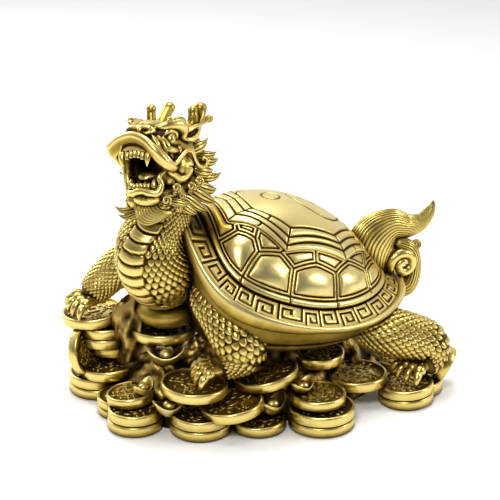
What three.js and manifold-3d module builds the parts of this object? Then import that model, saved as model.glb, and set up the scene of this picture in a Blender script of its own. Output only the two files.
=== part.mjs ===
// A cast brass dragon turtle: a tortoise with a dragon's head, mane and tail, standing on a heap of
// coins and ingots. The whole work is one casting, so everything is joined into one solid.
// Millimetres, +Z up, the body along X with the head towards -X, and the near flank towards -Y.
import * as THREE from "three";
import { mergeVertices } from "three/addons/utils/BufferGeometryUtils.js";
import Module from "manifold-3d";

const wasm = await Module();
wasm.setup();

// The shell: a dome on a sloping band, both with oval outlines that are blunter in front.
// Each outline runs round the middle [x], with its rear and front reach, its half width and heights.
const RIM = { middle: -5, rear: 102, front: 61, half: 70, blunt: 3.4, low: 60, dip: 55, sag: 10, arch: 36 };
const FOOT = { middle: 0, rear: 82, front: 48, half: 54, blunt: 3.8, low: 67, dip: 55, sag: 11.5, arch: 30 };
const ARCH_FALLOFF = 2.4;
const CROWN = new THREE.Vector3(-12, 0, 131.5);
const DOME_FALL = 2.3;
const DOME_FALL_SIDE = 0.5;
const LIP_THICK = { rear: 2.5, front: 8, from: 10, over: 70 };
const SHELL_SIDES = 36;
const PLATE_RISE = 1.6;
const BOARD_MIDDLE = 14.5;
const BOARD_CORNERS = [[63, 15], [39.7, 33.5], [-3.3, 39], [-32.3, 18.3]];
const TERRACES = [0.74, 0.88, 1];
const BOARD_RISE = 0.9;
const BELLY_HEIGHT = 38;

// The heap. A coin's level counts coin thicknesses from the floor to its top face.
const COIN_THICK = 7;
const COIN_RIM = 2.3;
const COIN_RECESS = 1.2;
const COIN_SIDES = 11;
const FAR_PAW_LEVEL = 7.6;
const NEAR_PAW_LEVEL = 4.5;
const HIND_PAW_LEVEL = 1.9;
const ROCK = { middle: -4, halfLength: 96, halfWidth: 58, top: 44 };

// The head: the middle of the skull, its heading, how far the nose points up and how far it leans
const HEAD_AT = new THREE.Vector3(-61.4, -8, 175);
const HEAD_HEADING = THREE.MathUtils.degToRad(204);
const HEAD_PITCH = THREE.MathUtils.degToRad(25);
const HEAD_LEAN = THREE.MathUtils.degToRad(14);

const vec = (p) => new THREE.Vector3(p[0], p[1], p[2]);

// A closed geometry as a solid that can be joined.
function solid(geometry) {
  const bare = geometry.clone();
  bare.deleteAttribute("normal");
  bare.deleteAttribute("uv");
  const merged = mergeVertices(bare, 1e-4);
  return new wasm.Manifold(
    new wasm.Mesh({
      numProp: 3,
      vertProperties: new Float32Array(merged.attributes.position.array),
      triVerts: new Uint32Array(merged.index.array),
    }),
  );
}

// A joined solid back as a geometry.
function geometryOf(made) {
  const mesh = made.getMesh();
  const points = [];
  for (let i = 0; i < mesh.vertProperties.length; i += mesh.numProp) {
    points.push(...mesh.vertProperties.slice(i, i + 3));
  }
  const geometry = new THREE.BufferGeometry();
  geometry.setAttribute("position", new THREE.Float32BufferAttribute(points, 3));
  geometry.setIndex(Array.from(mesh.triVerts));
  geometry.computeVertexNormals();
  return geometry;
}

// A sphere's grid of points, each moved to place(t, angle, ring), with t from 0 to 1 between the poles.
function wrapped(sides, rings, place) {
  const geometry = new THREE.SphereGeometry(1, sides, rings);
  const position = geometry.attributes.position;
  for (let i = 0; i < position.count; i++) {
    const ring = Math.floor(i / (sides + 1));
    const side = (i % (sides + 1)) % sides;
    const p = place(ring / rings, (side / sides) * 2 * Math.PI, ring);
    position.setXYZ(i, p.x, p.y, p.z);
  }
  return geometry;
}

const END_BLUNT = 6;

// A limb along a smooth curve, with closed round ends. A station is [x, y, z, radius]. The section is
// squeezed by flat along the direction that over gives, and swell(t, angle) stands it proud.
function limb(stations, { sides = 5, rings = 4, flat = 1, over = [0, 0, 1], swell = () => 0 } = {}) {
  const curve = new THREE.CatmullRomCurve3(stations.map(vec), false, "catmullrom", 0.5);
  const last = stations.length - 1;
  const radiusAt = (t) => {
    const k = Math.min(Math.floor(t * last), last - 1);
    return THREE.MathUtils.lerp(stations[k][3], stations[k + 1][3], t * last - k);
  };
  return wrapped(sides, rings, (t, angle) => {
    const along = curve.getTangent(t);
    const across = new THREE.Vector3().crossVectors(vec(over), along).normalize();
    const above = new THREE.Vector3().crossVectors(along, across).normalize();
    const round = t === 0 || t === 1 ? 0 : Math.sqrt(1 - Math.abs(2 * t - 1) ** END_BLUNT);
    const r = (radiusAt(t) + swell(t, angle)) * round;
    return curve
      .getPoint(t)
      .addScaledVector(across, -r * Math.cos(angle))
      .addScaledVector(above, r * flat * Math.sin(angle));
  });
}

function ball(centre, radii, sides = 6, rings = 4) {
  const geometry = new THREE.SphereGeometry(1, sides, rings);
  geometry.scale(radii[0], radii[1], radii[2]);
  geometry.translate(centre[0], centre[1], centre[2]);
  return geometry;
}

// A point of an oval outline. It lies low along the flanks and arches up over the neck in front.
function oval(form, angle, scale = 1) {
  const [c, s] = [Math.cos(angle), Math.sin(angle)];
  const power = c > 0 ? 2 : form.blunt;
  const reach = Math.sign(c) * Math.abs(c) ** (2 / power);
  const side = Math.sign(s) * Math.abs(s) ** (2 / power);
  const x = form.middle + (c > 0 ? form.rear : form.front) * reach;
  const rise = c > 0 ? 0 : form.arch * (1 - side ** 2) ** ARCH_FALLOFF;
  const z = form.low + form.sag * ((x - form.dip) / 60) ** 2 + rise;
  return new THREE.Vector3(CROWN.x + (x - CROWN.x) * scale, form.half * side * scale, z);
}

// A point of the dome: angle round it, and out from 0 at the crown to 1 at the foot.
function domePoint(angle, out, rise = 0) {
  const foot = oval(FOOT, angle);
  const fall = DOME_FALL + DOME_FALL_SIDE * (foot.y / FOOT.half) ** 2;
  const p = CROWN.clone().lerp(foot, out);
  p.z = CROWN.z + (foot.z - CROWN.z) * out ** fall;
  const outward = new THREE.Vector3(foot.x - CROWN.x, foot.y, 0).normalize().multiplyScalar(out);
  return p.addScaledVector(outward.setZ(1.2 - out).normalize(), rise);
}

// The smooth skirt below the lip: share 1 is the lip's height and 0 the belly's.
function bellyPoint(angle, scale, share) {
  const p = oval(RIM, angle, scale);
  p.z = THREE.MathUtils.lerp(BELLY_HEIGHT, Math.min(p.z, RIM.low + 20), share);
  return p;
}

// The place on the dome, as [angle, out], over a point of the plan.
function domeUnder(x, y) {
  const heading = Math.atan2(y, x - CROWN.x);
  let [low, high] = [heading - 1, heading + 1];
  for (let i = 0; i < 30; i++) {
    const angle = (low + high) / 2;
    const foot = oval(FOOT, angle);
    const off = Math.atan2(foot.y, foot.x - CROWN.x) - heading;
    if (Math.sin(off) < 0) low = angle;
    else high = angle;
  }
  const foot = oval(FOOT, low);
  return [low, Math.hypot(x - CROWN.x, y) / Math.hypot(foot.x - CROWN.x, foot.y)];
}

// The board's sides, each as its outward direction in plan and its distance from the middle.
const [FRONT_X, FRONT_Y] = BOARD_CORNERS.at(-1);
const BOARD_SIDES = [...BOARD_CORNERS, [FRONT_X, -FRONT_Y]].map(([x, y], k, corners) => {
  const [x0, y0] = k === 0 ? [x, -y] : corners[k - 1];
  const out = new THREE.Vector2(y - y0, x0 - x).normalize();
  return { out, far: out.dot(new THREE.Vector2(x - BOARD_MIDDLE, y)) };
});

// A point of the eight-sided board's outline, in the direction of the foot at this angle.
function boardPoint(angle, scale, rise) {
  const foot = oval(FOOT, angle);
  const way = new THREE.Vector2(foot.x - BOARD_MIDDLE, Math.abs(foot.y));
  const reach = scale / Math.max(...BOARD_SIDES.map(({ out, far }) => out.dot(way) / far));
  return domePoint(...domeUnder(BOARD_MIDDLE + way.x * reach, foot.y * reach), rise);
}

// A point of the rolled lip, which is thicker in front: share 0 is its top and 1 its underside.
function lipPoint(angle, scale, share) {
  const p = oval(RIM, angle, scale);
  const { rear, front, from, over } = LIP_THICK;
  const ahead = THREE.MathUtils.clamp((from - p.x) / over, 0, 1);
  p.z -= THREE.MathUtils.lerp(rear, front, ahead) * share;
  return p;
}

// A point between the board's edge, at share 0, and the dome's foot, at share 1.
function flankPoint(angle, share, rise = 0) {
  const p = boardPoint(angle, 1, 0).lerp(oval(FOOT, angle), share);
  return domePoint(...domeUnder(p.x, p.y), rise);
}

// Each plate takes three columns round the dome: the groove beside it and its own two edges.
const grooveAt = (angle) => Math.round((angle / (2 * Math.PI)) * SHELL_SIDES) % 3 === 0;

function shellBody() {
  const onPlate = (a) => (grooveAt(a) ? 0 : PLATE_RISE);
  const rows = [() => boardPoint(0, 0, BOARD_RISE * 3)];
  for (const [k, scale] of TERRACES.entries()) {
    rows.push((a) => boardPoint(a, scale, BOARD_RISE * (3 - k)));
    rows.push((a) => boardPoint(a, scale + 0.02, BOARD_RISE * (2 - k)));
  }
  rows.push((a) => flankPoint(a, 0.22));
  rows.push((a) => flankPoint(a, 0.3, onPlate(a)));
  rows.push((a) => flankPoint(a, 0.8, onPlate(a)));
  rows.push((a) => flankPoint(a, 0.88));
  rows.push((a) => flankPoint(a, 1));
  rows.push((a) => oval(RIM, a, 0.95));
  rows.push((a) => lipPoint(a, 0.985, 0));
  rows.push((a) => lipPoint(a, 1, 0.6));
  rows.push((a) => lipPoint(a, 0.97, 1.5));
  rows.push((a) => bellyPoint(a, 0.7, 0.25));
  rows.push(() => new THREE.Vector3(CROWN.x, 0, BELLY_HEIGHT - 8));
  return wrapped(SHELL_SIDES, rows.length - 1, (t, angle, ring) => rows[ring](angle));
}

// The neck and its belly scutes, from the chest up to the skull
const NECK = [
  [-48, 0, 74, 20],
  [-67, 1, 79, 24],
  [-75, -4.5, 96, 25],
  [-77.5, -6.5, 111, 23.5],
  [-75.5, -7, 122, 20.5],
  [-71.5, -8, 133, 17.5],
  [-67, -8, 146, 15.2],
  [-62, -8, 162, 14],
];
const SCUTES = 8;
const SCUTE_RISE = 2.4;
const CHEST_HEADING = THREE.MathUtils.degToRad(211);

// The neck turns its front to the chest's heading, and the scutes lap like steps down that side.
function neck() {
  const over = [Math.cos(CHEST_HEADING), Math.sin(CHEST_HEADING), 0];
  const sides = 12;
  const bands = SCUTES + 3;
  const onFront = (angle) => Math.sin(angle) > 0.55;
  const steps = (t, angle) => (onFront(angle) && (t * bands) % 1 < 0.5 ? SCUTE_RISE : 0);
  return [limb(NECK, { sides, rings: 2 * bands, over, swell: steps })];
}

// A leg ends in a paw on its coin: stations down from the body, then the paw's way and its claws.
// The forelegs spring from round shoulders between the neck and the shell's lip.
const topOf = (level) => level * COIN_THICK;
const LEGS = [
  {
    stations: [
      [-47, -14, 90, 14],
      [-49, -27, 82, 16],
      [-46, -39, 72, 16],
      [-42, -46, 61, 16],
      [-37, -47, 51, 14],
    ],
    ankle: [-44, -44, 12, 11],
    paw: [-55, -42, 9, 9],
    level: NEAR_PAW_LEVEL,
  },
  {
    stations: [[-40, 26, 92, 12], [-62, 33, 94, 13], [-79, 40, 86, 12.5], [-91, 45, 76, 11]],
    ankle: [-99, 46, 15, 10],
    paw: [-106, 46, 8.5, 9],
    level: FAR_PAW_LEVEL,
  },
  ...[-1, 1].map((side) => ({
    stations: [
      [44, 30 * side, 56, 14],
      [64, 42 * side, 54, 15],
      [82, 48 * side, 47, 15],
      [93, 51 * side, 36, 13.5],
    ],
    ankle: [93, 53 * side, 12, 11],
    paw: [82, 55 * side, 8, 10],
    level: HIND_PAW_LEVEL,
  })),
];
const CLAWS = 4;
const CLAW_GAP = 4.6;
const CLAW_SPREAD = 0.38;

function leg({ stations, ankle, paw, level }) {
  const floor = topOf(level);
  const lift = ([x, y, z, r]) => [x, y, z + floor, r];
  const parts = [limb([...stations, lift(ankle), lift(paw)], { sides: 7, rings: 8, over: [0, 1, 0] })];
  const ahead = new THREE.Vector3(paw[0] - ankle[0], paw[1] - ankle[1], 0).normalize();
  const side = new THREE.Vector3(-ahead.y, ahead.x, 0);
  for (let k = 0; k < CLAWS; k++) {
    const place = k - (CLAWS - 1) / 2;
    const way = ahead.clone().applyAxisAngle(new THREE.Vector3(0, 0, 1), place * CLAW_SPREAD);
    const at = (reach, z, r) => {
      const p = new THREE.Vector3(paw[0], paw[1], floor + z).addScaledVector(side, place * CLAW_GAP);
      return [...p.addScaledVector(way, reach).toArray(), r];
    };
    const claw = [at(-9, 7, 4.5), at(5, 9, 4.6), at(10, 5, 3), at(11, -1, 0.8)];
    parts.push(limb(claw, { sides: 4, rings: 3, over: [0.1, 1, 0] }));
  }
  return parts;
}

// The tail: a broad plume swept back over the shell, a curling plume below it and a scroll between
function tail() {
  const plume = [
    [86, 0, 56, 10],
    [78, 0, 74, 16],
    [79, 0, 90, 19],
    [90, 0, 98, 13],
    [102, 0, 97, 8],
    [113, 0, 98, 6.5],
    [125, 0, 110, 1],
  ];
  const curl = [
    [92, -1, 52, 6],
    [103, -2, 55, 6.5],
    [107, -3, 68, 5.5],
    [103, -4, 82, 5.5],
    [92, -3, 88, 5],
  ];
  return [
    limb(plume, { sides: 6, rings: 10, flat: 0.5, over: [0, 1, 0] }),
    limb(curl, { rings: 7, over: [0, 1, 0] }),
    limb(spiral([97, -6, 73], 9.5, 1.3, 4), { rings: 9, over: [0, 1, 0] }),
  ];
}

// Stations of a spiral that faces across the figure, thinning towards its middle.
function spiral(centre, reach, turns, thick) {
  const steps = 8;
  return Array.from({ length: steps + 1 }, (_, i) => {
    const t = i / steps;
    const angle = -2.4 - t * turns * 2 * Math.PI;
    const r = reach * (1 - 0.85 * t);
    const [x, z] = [centre[0] + r * Math.cos(angle), centre[2] + r * Math.sin(angle)];
    return [x, centre[1] - t * 3, z, thick * (1 - 0.4 * t)];
  });
}

// The head is made in its own frame, [ahead, near side, up], and then turned and set on the neck.
const headTurn = (() => {
  const ahead = new THREE.Vector3(Math.cos(HEAD_HEADING), Math.sin(HEAD_HEADING), 0);
  const near = new THREE.Vector3(-ahead.y, ahead.x, 0);
  const up = new THREE.Vector3(0, 0, 1);
  return new THREE.Matrix4()
    .makeBasis(ahead, near, up)
    .multiply(new THREE.Matrix4().makeRotationY(-HEAD_PITCH))
    .multiply(new THREE.Matrix4().makeRotationX(HEAD_LEAN))
    .setPosition(HEAD_AT);
})();
const SIDES = [1, -1];
const mirrored = (stations, side) => stations.map(([a, b, c, r]) => [a, b * side, c, r]);
const bothSides = (stations, options) => SIDES.map((side) => limb(mirrored(stations, side), options));
const bothBalls = ([a, b, c], radii) => SIDES.map((side) => ball([a, b * side, c], radii));

function face() {
  const arch = (stations) => [...stations, ...mirrored(stations, -1).reverse().slice(1)];
  const ahead = [1, 0, 0];
  const small = { sides: 4, rings: 3 };
  return [
    // skull and muzzle, the filled mouth, the rolled upper lip, the nose, the fangs and the eyes
    limb([[-14, 0, -4, 14], [2, 0, -2, 18], [17, 0, -2, 17], [27, 0, -3, 18], [37, 0, -5, 18]], {
      sides: 10,
      rings: 8,
      flat: 0.66,
    }),
    ball([17, 0, -19], [15, 17, 10], 8, 4),
    limb(arch([[26, 14, -19, 2.5], [33, 17, -12, 3], [37, 11, -4, 3.2], [39, 0, 0, 3.4]]), {
      rings: 10,
      over: ahead,
    }),
    ball([35, 0, 4], [5, 8, 4.5]),
    ...bothSides([[30, 9.5, -6, 3.4], [36, 9.5, -13, 2.4], [36, 9.5, -20, 0.6]], { ...small, over: ahead }),
    ...bothBalls([20, 11, 0], [4.5, 4, 4.5]),
    // brows, cheeks, whiskers and ears
    ...bothSides([[28, 3, 9, 3], [20, 10, 10, 5], [11, 14, 7, 3.4]]),
    ...bothBalls([9, 13, -12], [7, 6, 10]),
    ...bothSides(WHISKER, { sides: 4, rings: 7 }),
    ...bothSides([[11, 14, 4, 2.6], [7, 18, 8, 4], [4, 21, 14, 1]], { ...small, flat: 0.5 }),
    // horns, each with two branches
    ...bothSides([[5, 9, 2, 4.6], [3, 11, 15, 3.8], [3, 12, 25, 3.2]]),
    ...bothSides([[3, 11, 17, 3.2], [-3, 12, 22, 3], [-5, 12, 28, 3.4]], small),
    ...bothSides([[-1, 12, 19, 2.6], [-7, 13, 18, 2.4], [-11, 14, 20, 3]], small),
    // lower jaw with its lip and teeth, the chin and the beard
    limb([[-4, 0, -18, 12], [8, 0, -26, 13], [18, 0, -32, 11], [28, 0, -33, 9]], {
      sides: 8,
      rings: 5,
      flat: 0.7,
    }),
    limb(arch([[25, 13, -18, 1.8], [24, 11, -27, 2.2], [30, 0, -31, 2.6]]), { rings: 7 }),
    ...bothSides([[27, 8, -31, 2.2], [27.5, 8, -24.5, 0.6]], { ...small, over: ahead }),
    ball([26, 0, -36], [4, 7, 4]),
    limb([[22, 0, -31, 7], [20, 0, -43, 9], [17, 0, -53, 3]], { sides: 6, flat: 0.5, over: ahead }),
    ...bothSides([[20, 3, -40, 4], [17, 7, -44, 3.4], [12, 11, -46, 0.8]], small),
  ];
}
const WHISKER = [
  [32, 9, 3, 2],
  [25, 14, -6, 2.6],
  [20, 17, -13, 2.2],
  [14, 19, -6, 2],
  [6, 18, -8, 1.8],
  [0, 18, -12, 1.8],
  [-1, 18, -8, 1.6],
];

// The mane: pointed locks in a ruff behind the face. A lock is the tip's place and the lock's breadth.
const BACK_LOCKS = [
  [-9, 17, 7, 5],
  [-18, 18, -2, 5],
  [-29, 15, -13, 6],
  [-26, 13, -31, 5],
  [-16, 15, -38, 5.5],
  [-3, 17, -42, 5.5],
  [-30, 4, -16, 6],
];
const SIDE_LOCKS = [
  [9, 22, -38, 5],
  [20, 22, -43, 4.5],
  [22, 22, -20, 3.4],
];
const CURLS = [
  [4, 18, -20],
  [13, 18, -30],
];

function mane() {
  const lock = (root, [a, b, c, breadth], side) => {
    const at = (t, r, bow = 0) => [
      THREE.MathUtils.lerp(root[0], a, t),
      side * (THREE.MathUtils.lerp(root[1], b, t) + bow),
      THREE.MathUtils.lerp(root[2], c, t) + bow * 0.5,
      r * breadth,
    ];
    const stations = [at(0, 1), at(0.5, 1, 1.5), at(1, 0.15)];
    return limb(stations, { sides: 4, rings: 3, flat: 0.6, over: [1, 0, 0.3] });
  };
  return SIDES.flatMap((side) => [
    ...BACK_LOCKS.map((tip) => lock([0, 8, Math.max(tip[2] * 0.5, -16)], tip, side)),
    ...SIDE_LOCKS.map((tip) => lock([3, 7, Math.max(tip[2] * 0.7, -26)], tip, side)),
    ...CURLS.map(([a, b, c]) => ball([a, b * side, c], [4.4, 3.4, 4.4], 5, 3)),
  ]);
}

function head() {
  return [...face(), ...mane()].map((geometry) => geometry.applyMatrix4(headTurn));
}

// A place on the heap, given as shares of the rock's half length and half width
const onRock = (along, across, z) => [
  ROCK.middle + along * ROCK.halfLength,
  across * ROCK.halfWidth,
  z,
];

// A coin: a raised edge round a sunken face, or plain where the next coin covers the face.
function coin([along, across, level, r, { lean = 0, towards = 156, plain = false, thick = 1 } = {}]) {
  const deep = COIN_THICK * thick;
  const outline = plain
    ? [[0, -deep], [r, -deep], [r, 0], [0, 0]]
    : [[0, -deep], [r, -deep], [r, 0], [r - COIN_RIM, 0], [r - COIN_RIM, -COIN_RECESS], [0, -COIN_RECESS]];
  const geometry = new THREE.LatheGeometry(outline.map(([a, b]) => new THREE.Vector2(a, b)), COIN_SIDES);
  geometry.rotateX(Math.PI / 2);
  const way = THREE.MathUtils.degToRad(towards);
  const axis = new THREE.Vector3(-Math.sin(way), Math.cos(way), 0);
  geometry.applyMatrix4(new THREE.Matrix4().makeRotationAxis(axis, THREE.MathUtils.degToRad(lean)));
  geometry.translate(...onRock(along, across, topOf(level)));
  return geometry;
}

// Each coin: its place on the rock, level, radius and how it lies
const COINS = [
  [-1.01, 0.69, 2, 20, { thick: 2, plain: true }],
  [-0.948, 0.586, 3.1, 21, { lean: 5 }],
  [-0.875, 0.776, 4.6, 19.5, { plain: true }],
  [-0.948, 0.75, 6.6, 18.5, { thick: 2, plain: true }],
  [-1.01, 0.845, FAR_PAW_LEVEL, 20.5, { lean: 4 }],
  [-1.062, 0.638, 4.3, 18, { lean: 78, towards: -54 }],
  [-0.99, -0.379, 1, 17.5, { plain: true }],
  [-0.99, -0.379, 2, 17],
  [-0.979, 0.034, 1.7, 17, { thick: 1.7, plain: true }],
  [-0.99, -0.224, 3, 15, { lean: 6, plain: true }],
  [-0.635, 0.293, 7, 21.5],
  [-0.635, -0.655, NEAR_PAW_LEVEL, 21, { lean: 3, towards: -24 }],
  [-0.135, -0.655, 4.3, 21, { lean: 12 }],
  [-0.438, -0.897, 2.9, 20, { lean: 8 }],
  [-0.615, -0.741, 1.95, 19.5, { thick: 1.95, plain: true }],
  [-0.26, -0.948, 1.05, 17],
  [0.135, -1.155, 2, 21, { thick: 2, plain: true }],
  [0.125, -1.103, 3.1, 17.5, { thick: 1.2 }],
  [0.292, -0.5, 4.7, 17.5],
  [0.521, -0.741, 2.8, 19.5],
  [0.808, -0.96, HIND_PAW_LEVEL, 18.5, { thick: 1.9, lean: 3 }],
  [0.94, -0.74, 1.3, 18, { thick: 1.3, plain: true }],
  [1.115, -0.828, 2.6, 13, { lean: 60, towards: 150, plain: true }],
  [1.062, -0.138, 1, 19, { plain: true }],
  [1.042, 0.345, 1.9, 19, { thick: 1.9, lean: 5, plain: true }],
  [0.812, 0.983, HIND_PAW_LEVEL, 18, { thick: 1.9, plain: true }],
  [0.5, 0.931, 2.2, 20, { thick: 1.6, lean: 4, plain: true }],
  [0.188, 1.172, 1.9, 20, { thick: 1.9, plain: true }],
  [-0.146, 1.086, 2, 20, { thick: 2, lean: 4, towards: 90, plain: true }],
  [0.021, 0.793, 3.6, 19],
  [0.646, 0.586, 3.3, 18, { lean: 6, towards: 60, plain: true }],
  [-0.5, 1.103, 2, 20, { thick: 2, plain: true }],
  [-0.417, 0.862, 3.8, 19, { lean: 5, towards: 60, plain: true }],
];

// A boat-shaped ingot with a ball in it: its place on the rock, the ball's height, heading and length
const INGOTS = [
  [-0.698, -0.086, 36, -20, 26],
  [-0.927, -0.379, 25, 40, 18],
  [-0.812, -0.655, 17, 0, 22],
  [-0.165, -0.93, 12.5, 30, 25],
  [0.042, -1, 24, 30, 20],
  [0.021, 1.172, 18, 10, 22],
];

function ingot([along, across, z, heading, length]) {
  const half = length / 2;
  const hull = wrapped(6, 4, (t, angle) => {
    const [c, s] = [Math.cos(angle), Math.sin(angle)];
    const round = Math.sin(Math.PI * t) ** 0.7;
    const end = (c * round) ** 2;
    const height = Math.cos(Math.PI * t) > 0 ? 0 : Math.cos(Math.PI * t) * 0.55 * half;
    return new THREE.Vector3(half * c * round, 0.55 * half * s * round, height + 0.5 * half * end);
  });
  const nugget = ball([0, 0, 0.1 * half], [0.36 * half, 0.36 * half, 0.32 * half], 4, 3);
  return [hull, nugget].map((geometry) =>
    geometry.rotateZ(THREE.MathUtils.degToRad(heading)).translate(...onRock(along, across, z)),
  );
}

// The rough rock in the middle of the heap, flat on the floor.
function rock() {
  const rows = [[0, 0], [0.92, 0], [0.9, 0.2], [0.56, 0.7], [0.3, 1], [0, 1.1]];
  return wrapped(14, rows.length - 1, (t, angle, ring) => {
    const [out, up] = rows[rows.length - 1 - ring];
    const reach = out * (1 + 0.05 * Math.cos(5 * angle) + 0.03 * Math.sin(7 * angle + ring));
    const { middle, halfLength, halfWidth, top } = ROCK;
    return new THREE.Vector3(
      middle + halfLength * reach * Math.cos(angle),
      halfWidth * reach * Math.sin(angle),
      top * up,
    );
  });
}

// The big smooth ingot under the chest, and the swell of rock below it
const CHEST_INGOT = { at: onRock(-0.635, 0.172, 61), radii: [20, 20, 13] };
const MOUND = { at: onRock(-0.6875, 0.103, 4), radii: [23, 28, 40] };

const forms = [
  shellBody(),
  ...neck(),
  ...LEGS.flatMap(leg),
  ...tail(),
  ...head(),
  ...COINS.map(coin),
  ...INGOTS.flatMap(ingot),
  rock(),
  ball(MOUND.at, MOUND.radii, 8, 4),
  ball(CHEST_INGOT.at, CHEST_INGOT.radii, 8, 5),
];
let casting = solid(forms[0]);
for (const [i, form] of forms.entries()) {
  const next = solid(form);
  if (next.volume() < 0) throw new Error(`form ${i} is inside out`);
  casting = casting.add(next);
}

// The underside is ground flat on the floor.
const SLAB = { side: 400, deep: 40 };
const below = new THREE.BoxGeometry(SLAB.side, SLAB.side, SLAB.deep).translate(0, 0, -SLAB.deep / 2);
casting = casting.subtract(solid(below));

const brass = new THREE.MeshStandardMaterial({ color: 0xb08d3c, roughness: 0.35, metalness: 1 });
const figure = new THREE.Mesh(geometryOf(casting), brass);
figure.name = "dragon_turtle";
const object = new THREE.Group();
object.add(figure);
export default object;
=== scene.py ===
# A cast brass dragon turtle on its heap of coins and ingots, seen from its near flank.
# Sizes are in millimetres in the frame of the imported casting, and become metres where a mesh is made.
import math

import bpy
import numpy as np
from mathutils import Matrix, Vector


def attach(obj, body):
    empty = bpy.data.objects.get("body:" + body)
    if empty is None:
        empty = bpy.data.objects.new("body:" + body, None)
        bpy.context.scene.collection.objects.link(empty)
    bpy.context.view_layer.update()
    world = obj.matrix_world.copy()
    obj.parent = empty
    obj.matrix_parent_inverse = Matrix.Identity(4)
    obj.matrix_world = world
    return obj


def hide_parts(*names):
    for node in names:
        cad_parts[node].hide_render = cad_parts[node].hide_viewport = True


# The camera stands off the near flank, a little towards the head, and looks down on the figure.
# It has a long lens, and its frame is shifted a little up and to the left.
VIEW_AZIMUTH, VIEW_HEIGHT = math.radians(-24), math.radians(22)
VIEW_DISTANCE = 1.15
VIEW_TARGET = Vector((0, 0, 0.075))
SENSOR, LENS = 36, 128.34
SHIFT_LEFT, SHIFT_UP = -0.030, 0.0596

camera = bpy.data.objects.new("camera", bpy.data.cameras.new("camera"))
bpy.context.scene.collection.objects.link(camera)
bpy.context.scene.camera = camera
level = math.cos(VIEW_HEIGHT)
back = Vector((math.sin(VIEW_AZIMUTH) * level, -math.cos(VIEW_AZIMUTH) * level, math.sin(VIEW_HEIGHT)))
camera.location = VIEW_TARGET + back * VIEW_DISTANCE
camera.rotation_euler = back.to_track_quat("Z", "Y").to_euler()
camera.data.sensor_width, camera.data.lens = SENSOR, LENS
camera.data.shift_x, camera.data.shift_y = SHIFT_LEFT, SHIFT_UP

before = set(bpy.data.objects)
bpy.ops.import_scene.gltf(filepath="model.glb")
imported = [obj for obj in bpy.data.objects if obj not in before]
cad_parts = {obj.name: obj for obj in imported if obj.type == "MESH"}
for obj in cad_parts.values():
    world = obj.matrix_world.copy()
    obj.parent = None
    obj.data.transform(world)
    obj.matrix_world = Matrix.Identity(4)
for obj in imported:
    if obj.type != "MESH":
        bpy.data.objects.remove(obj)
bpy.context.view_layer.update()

# The floor is a wide sheet of matt white paper, lit almost to white, with soft lamps round the figure.
# The lamps are large, so that the brass has broad bright patches and soft dark turns.
FLOOR_HALF = 4.0
LAMPS = {  # place, width and power
    "key": ((-0.55, -0.75, 0.95), 0.35, 7),
    "side": ((0.95, -0.55, 0.55), 0.3, 4),
    "top": ((0.1, 0.15, 1.1), 0.5, 6),
    "rim": ((-0.35, 0.9, 0.6), 0.5, 5),
}
LAMP_AIM = Vector((0, 0, 0.08))
LIT_SIDE = (0.15, 0.85, 0.5)
STUDIO_GREYS = ((0.0, 0.10), (0.45, 0.16), (0.62, 0.42), (0.78, 0.85), (1.0, 0.95))

floor_mesh = bpy.data.meshes.new("floor")
corners = [(a * FLOOR_HALF, b * FLOOR_HALF, 0) for a, b in ((-1, -1), (1, -1), (1, 1), (-1, 1))]
floor_mesh.from_pydata(corners, [], [(0, 1, 2, 3)])
floor = bpy.data.objects.new("floor", floor_mesh)
bpy.context.scene.collection.objects.link(floor)
paper = bpy.data.materials.new("white_paper")
paper.use_nodes = True
paper_shader = paper.node_tree.nodes["Principled BSDF"]
paper_shader.inputs["Base Color"].default_value = (0.93, 0.93, 0.925, 1)
paper_shader.inputs["Roughness"].default_value = 0.9
floor_mesh.materials.append(paper)

for name, (place, size, power) in LAMPS.items():
    lamp = bpy.data.lights.new(name, "AREA")
    lamp.size = size
    lamp.energy = power
    holder = bpy.data.objects.new(name, lamp)
    holder.location = place
    holder.rotation_euler = (Vector(place) - LAMP_AIM).to_track_quat("Z", "Y").to_euler()
    bpy.context.scene.collection.objects.link(holder)


def set_stops(ramp, stops):
    """Gives a colour ramp its places and colours, lowest first."""
    for place, _ in stops[1:-1]:
        ramp.elements.new(place)
    for element, (place, colour) in zip(ramp.elements, stops):
        element.position, element.color = place, (*colour, 1)


world = bpy.data.worlds.new("studio")
world.use_nodes = True
bpy.context.scene.world = world
sky, wires = world.node_tree.nodes, world.node_tree.links
where = sky.new("ShaderNodeTexCoord")
facing = sky.new("ShaderNodeVectorMath")
facing.operation = "DOT_PRODUCT"
facing.inputs[1].default_value = LIT_SIDE
wires.new(where.outputs["Generated"], facing.inputs[0])
turn = sky.new("ShaderNodeMapRange")
turn.inputs["From Min"].default_value = -1
wires.new(facing.outputs["Value"], turn.inputs["Value"])
fade = sky.new("ShaderNodeValToRGB")
set_stops(fade.color_ramp, [(place, (grey, grey, grey)) for place, grey in STUDIO_GREYS])
wires.new(turn.outputs["Result"], fade.inputs["Fac"])
wires.new(fade.outputs["Color"], sky["Background"].inputs["Color"])
sky["Background"].inputs["Strength"].default_value = 1.0
bpy.context.scene.view_settings.view_transform = "Standard"

# The brass: one casting, rubbed bright on all that stands proud, with a brown-black patina left in the
# hollows.
# Each mesh carries an attribute for wear at its points, from 0 in a hollow to 1 on a rubbed edge. It also
# holds painted shade: the neck's shadow on the front of the shell and the dark inside the mouth.
PATINA = (0.030, 0.012, 0.002)
PATINA_TO, OLIVE_AT, BRIGHT_FROM = 0.10, 0.42, 0.85
PATINA_ROUGHNESS = 0.62
HOLLOW_REACH, HOLLOW_POWER = 0.006, 1.6
GRAIN_DEPTH = 0.0006


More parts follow.
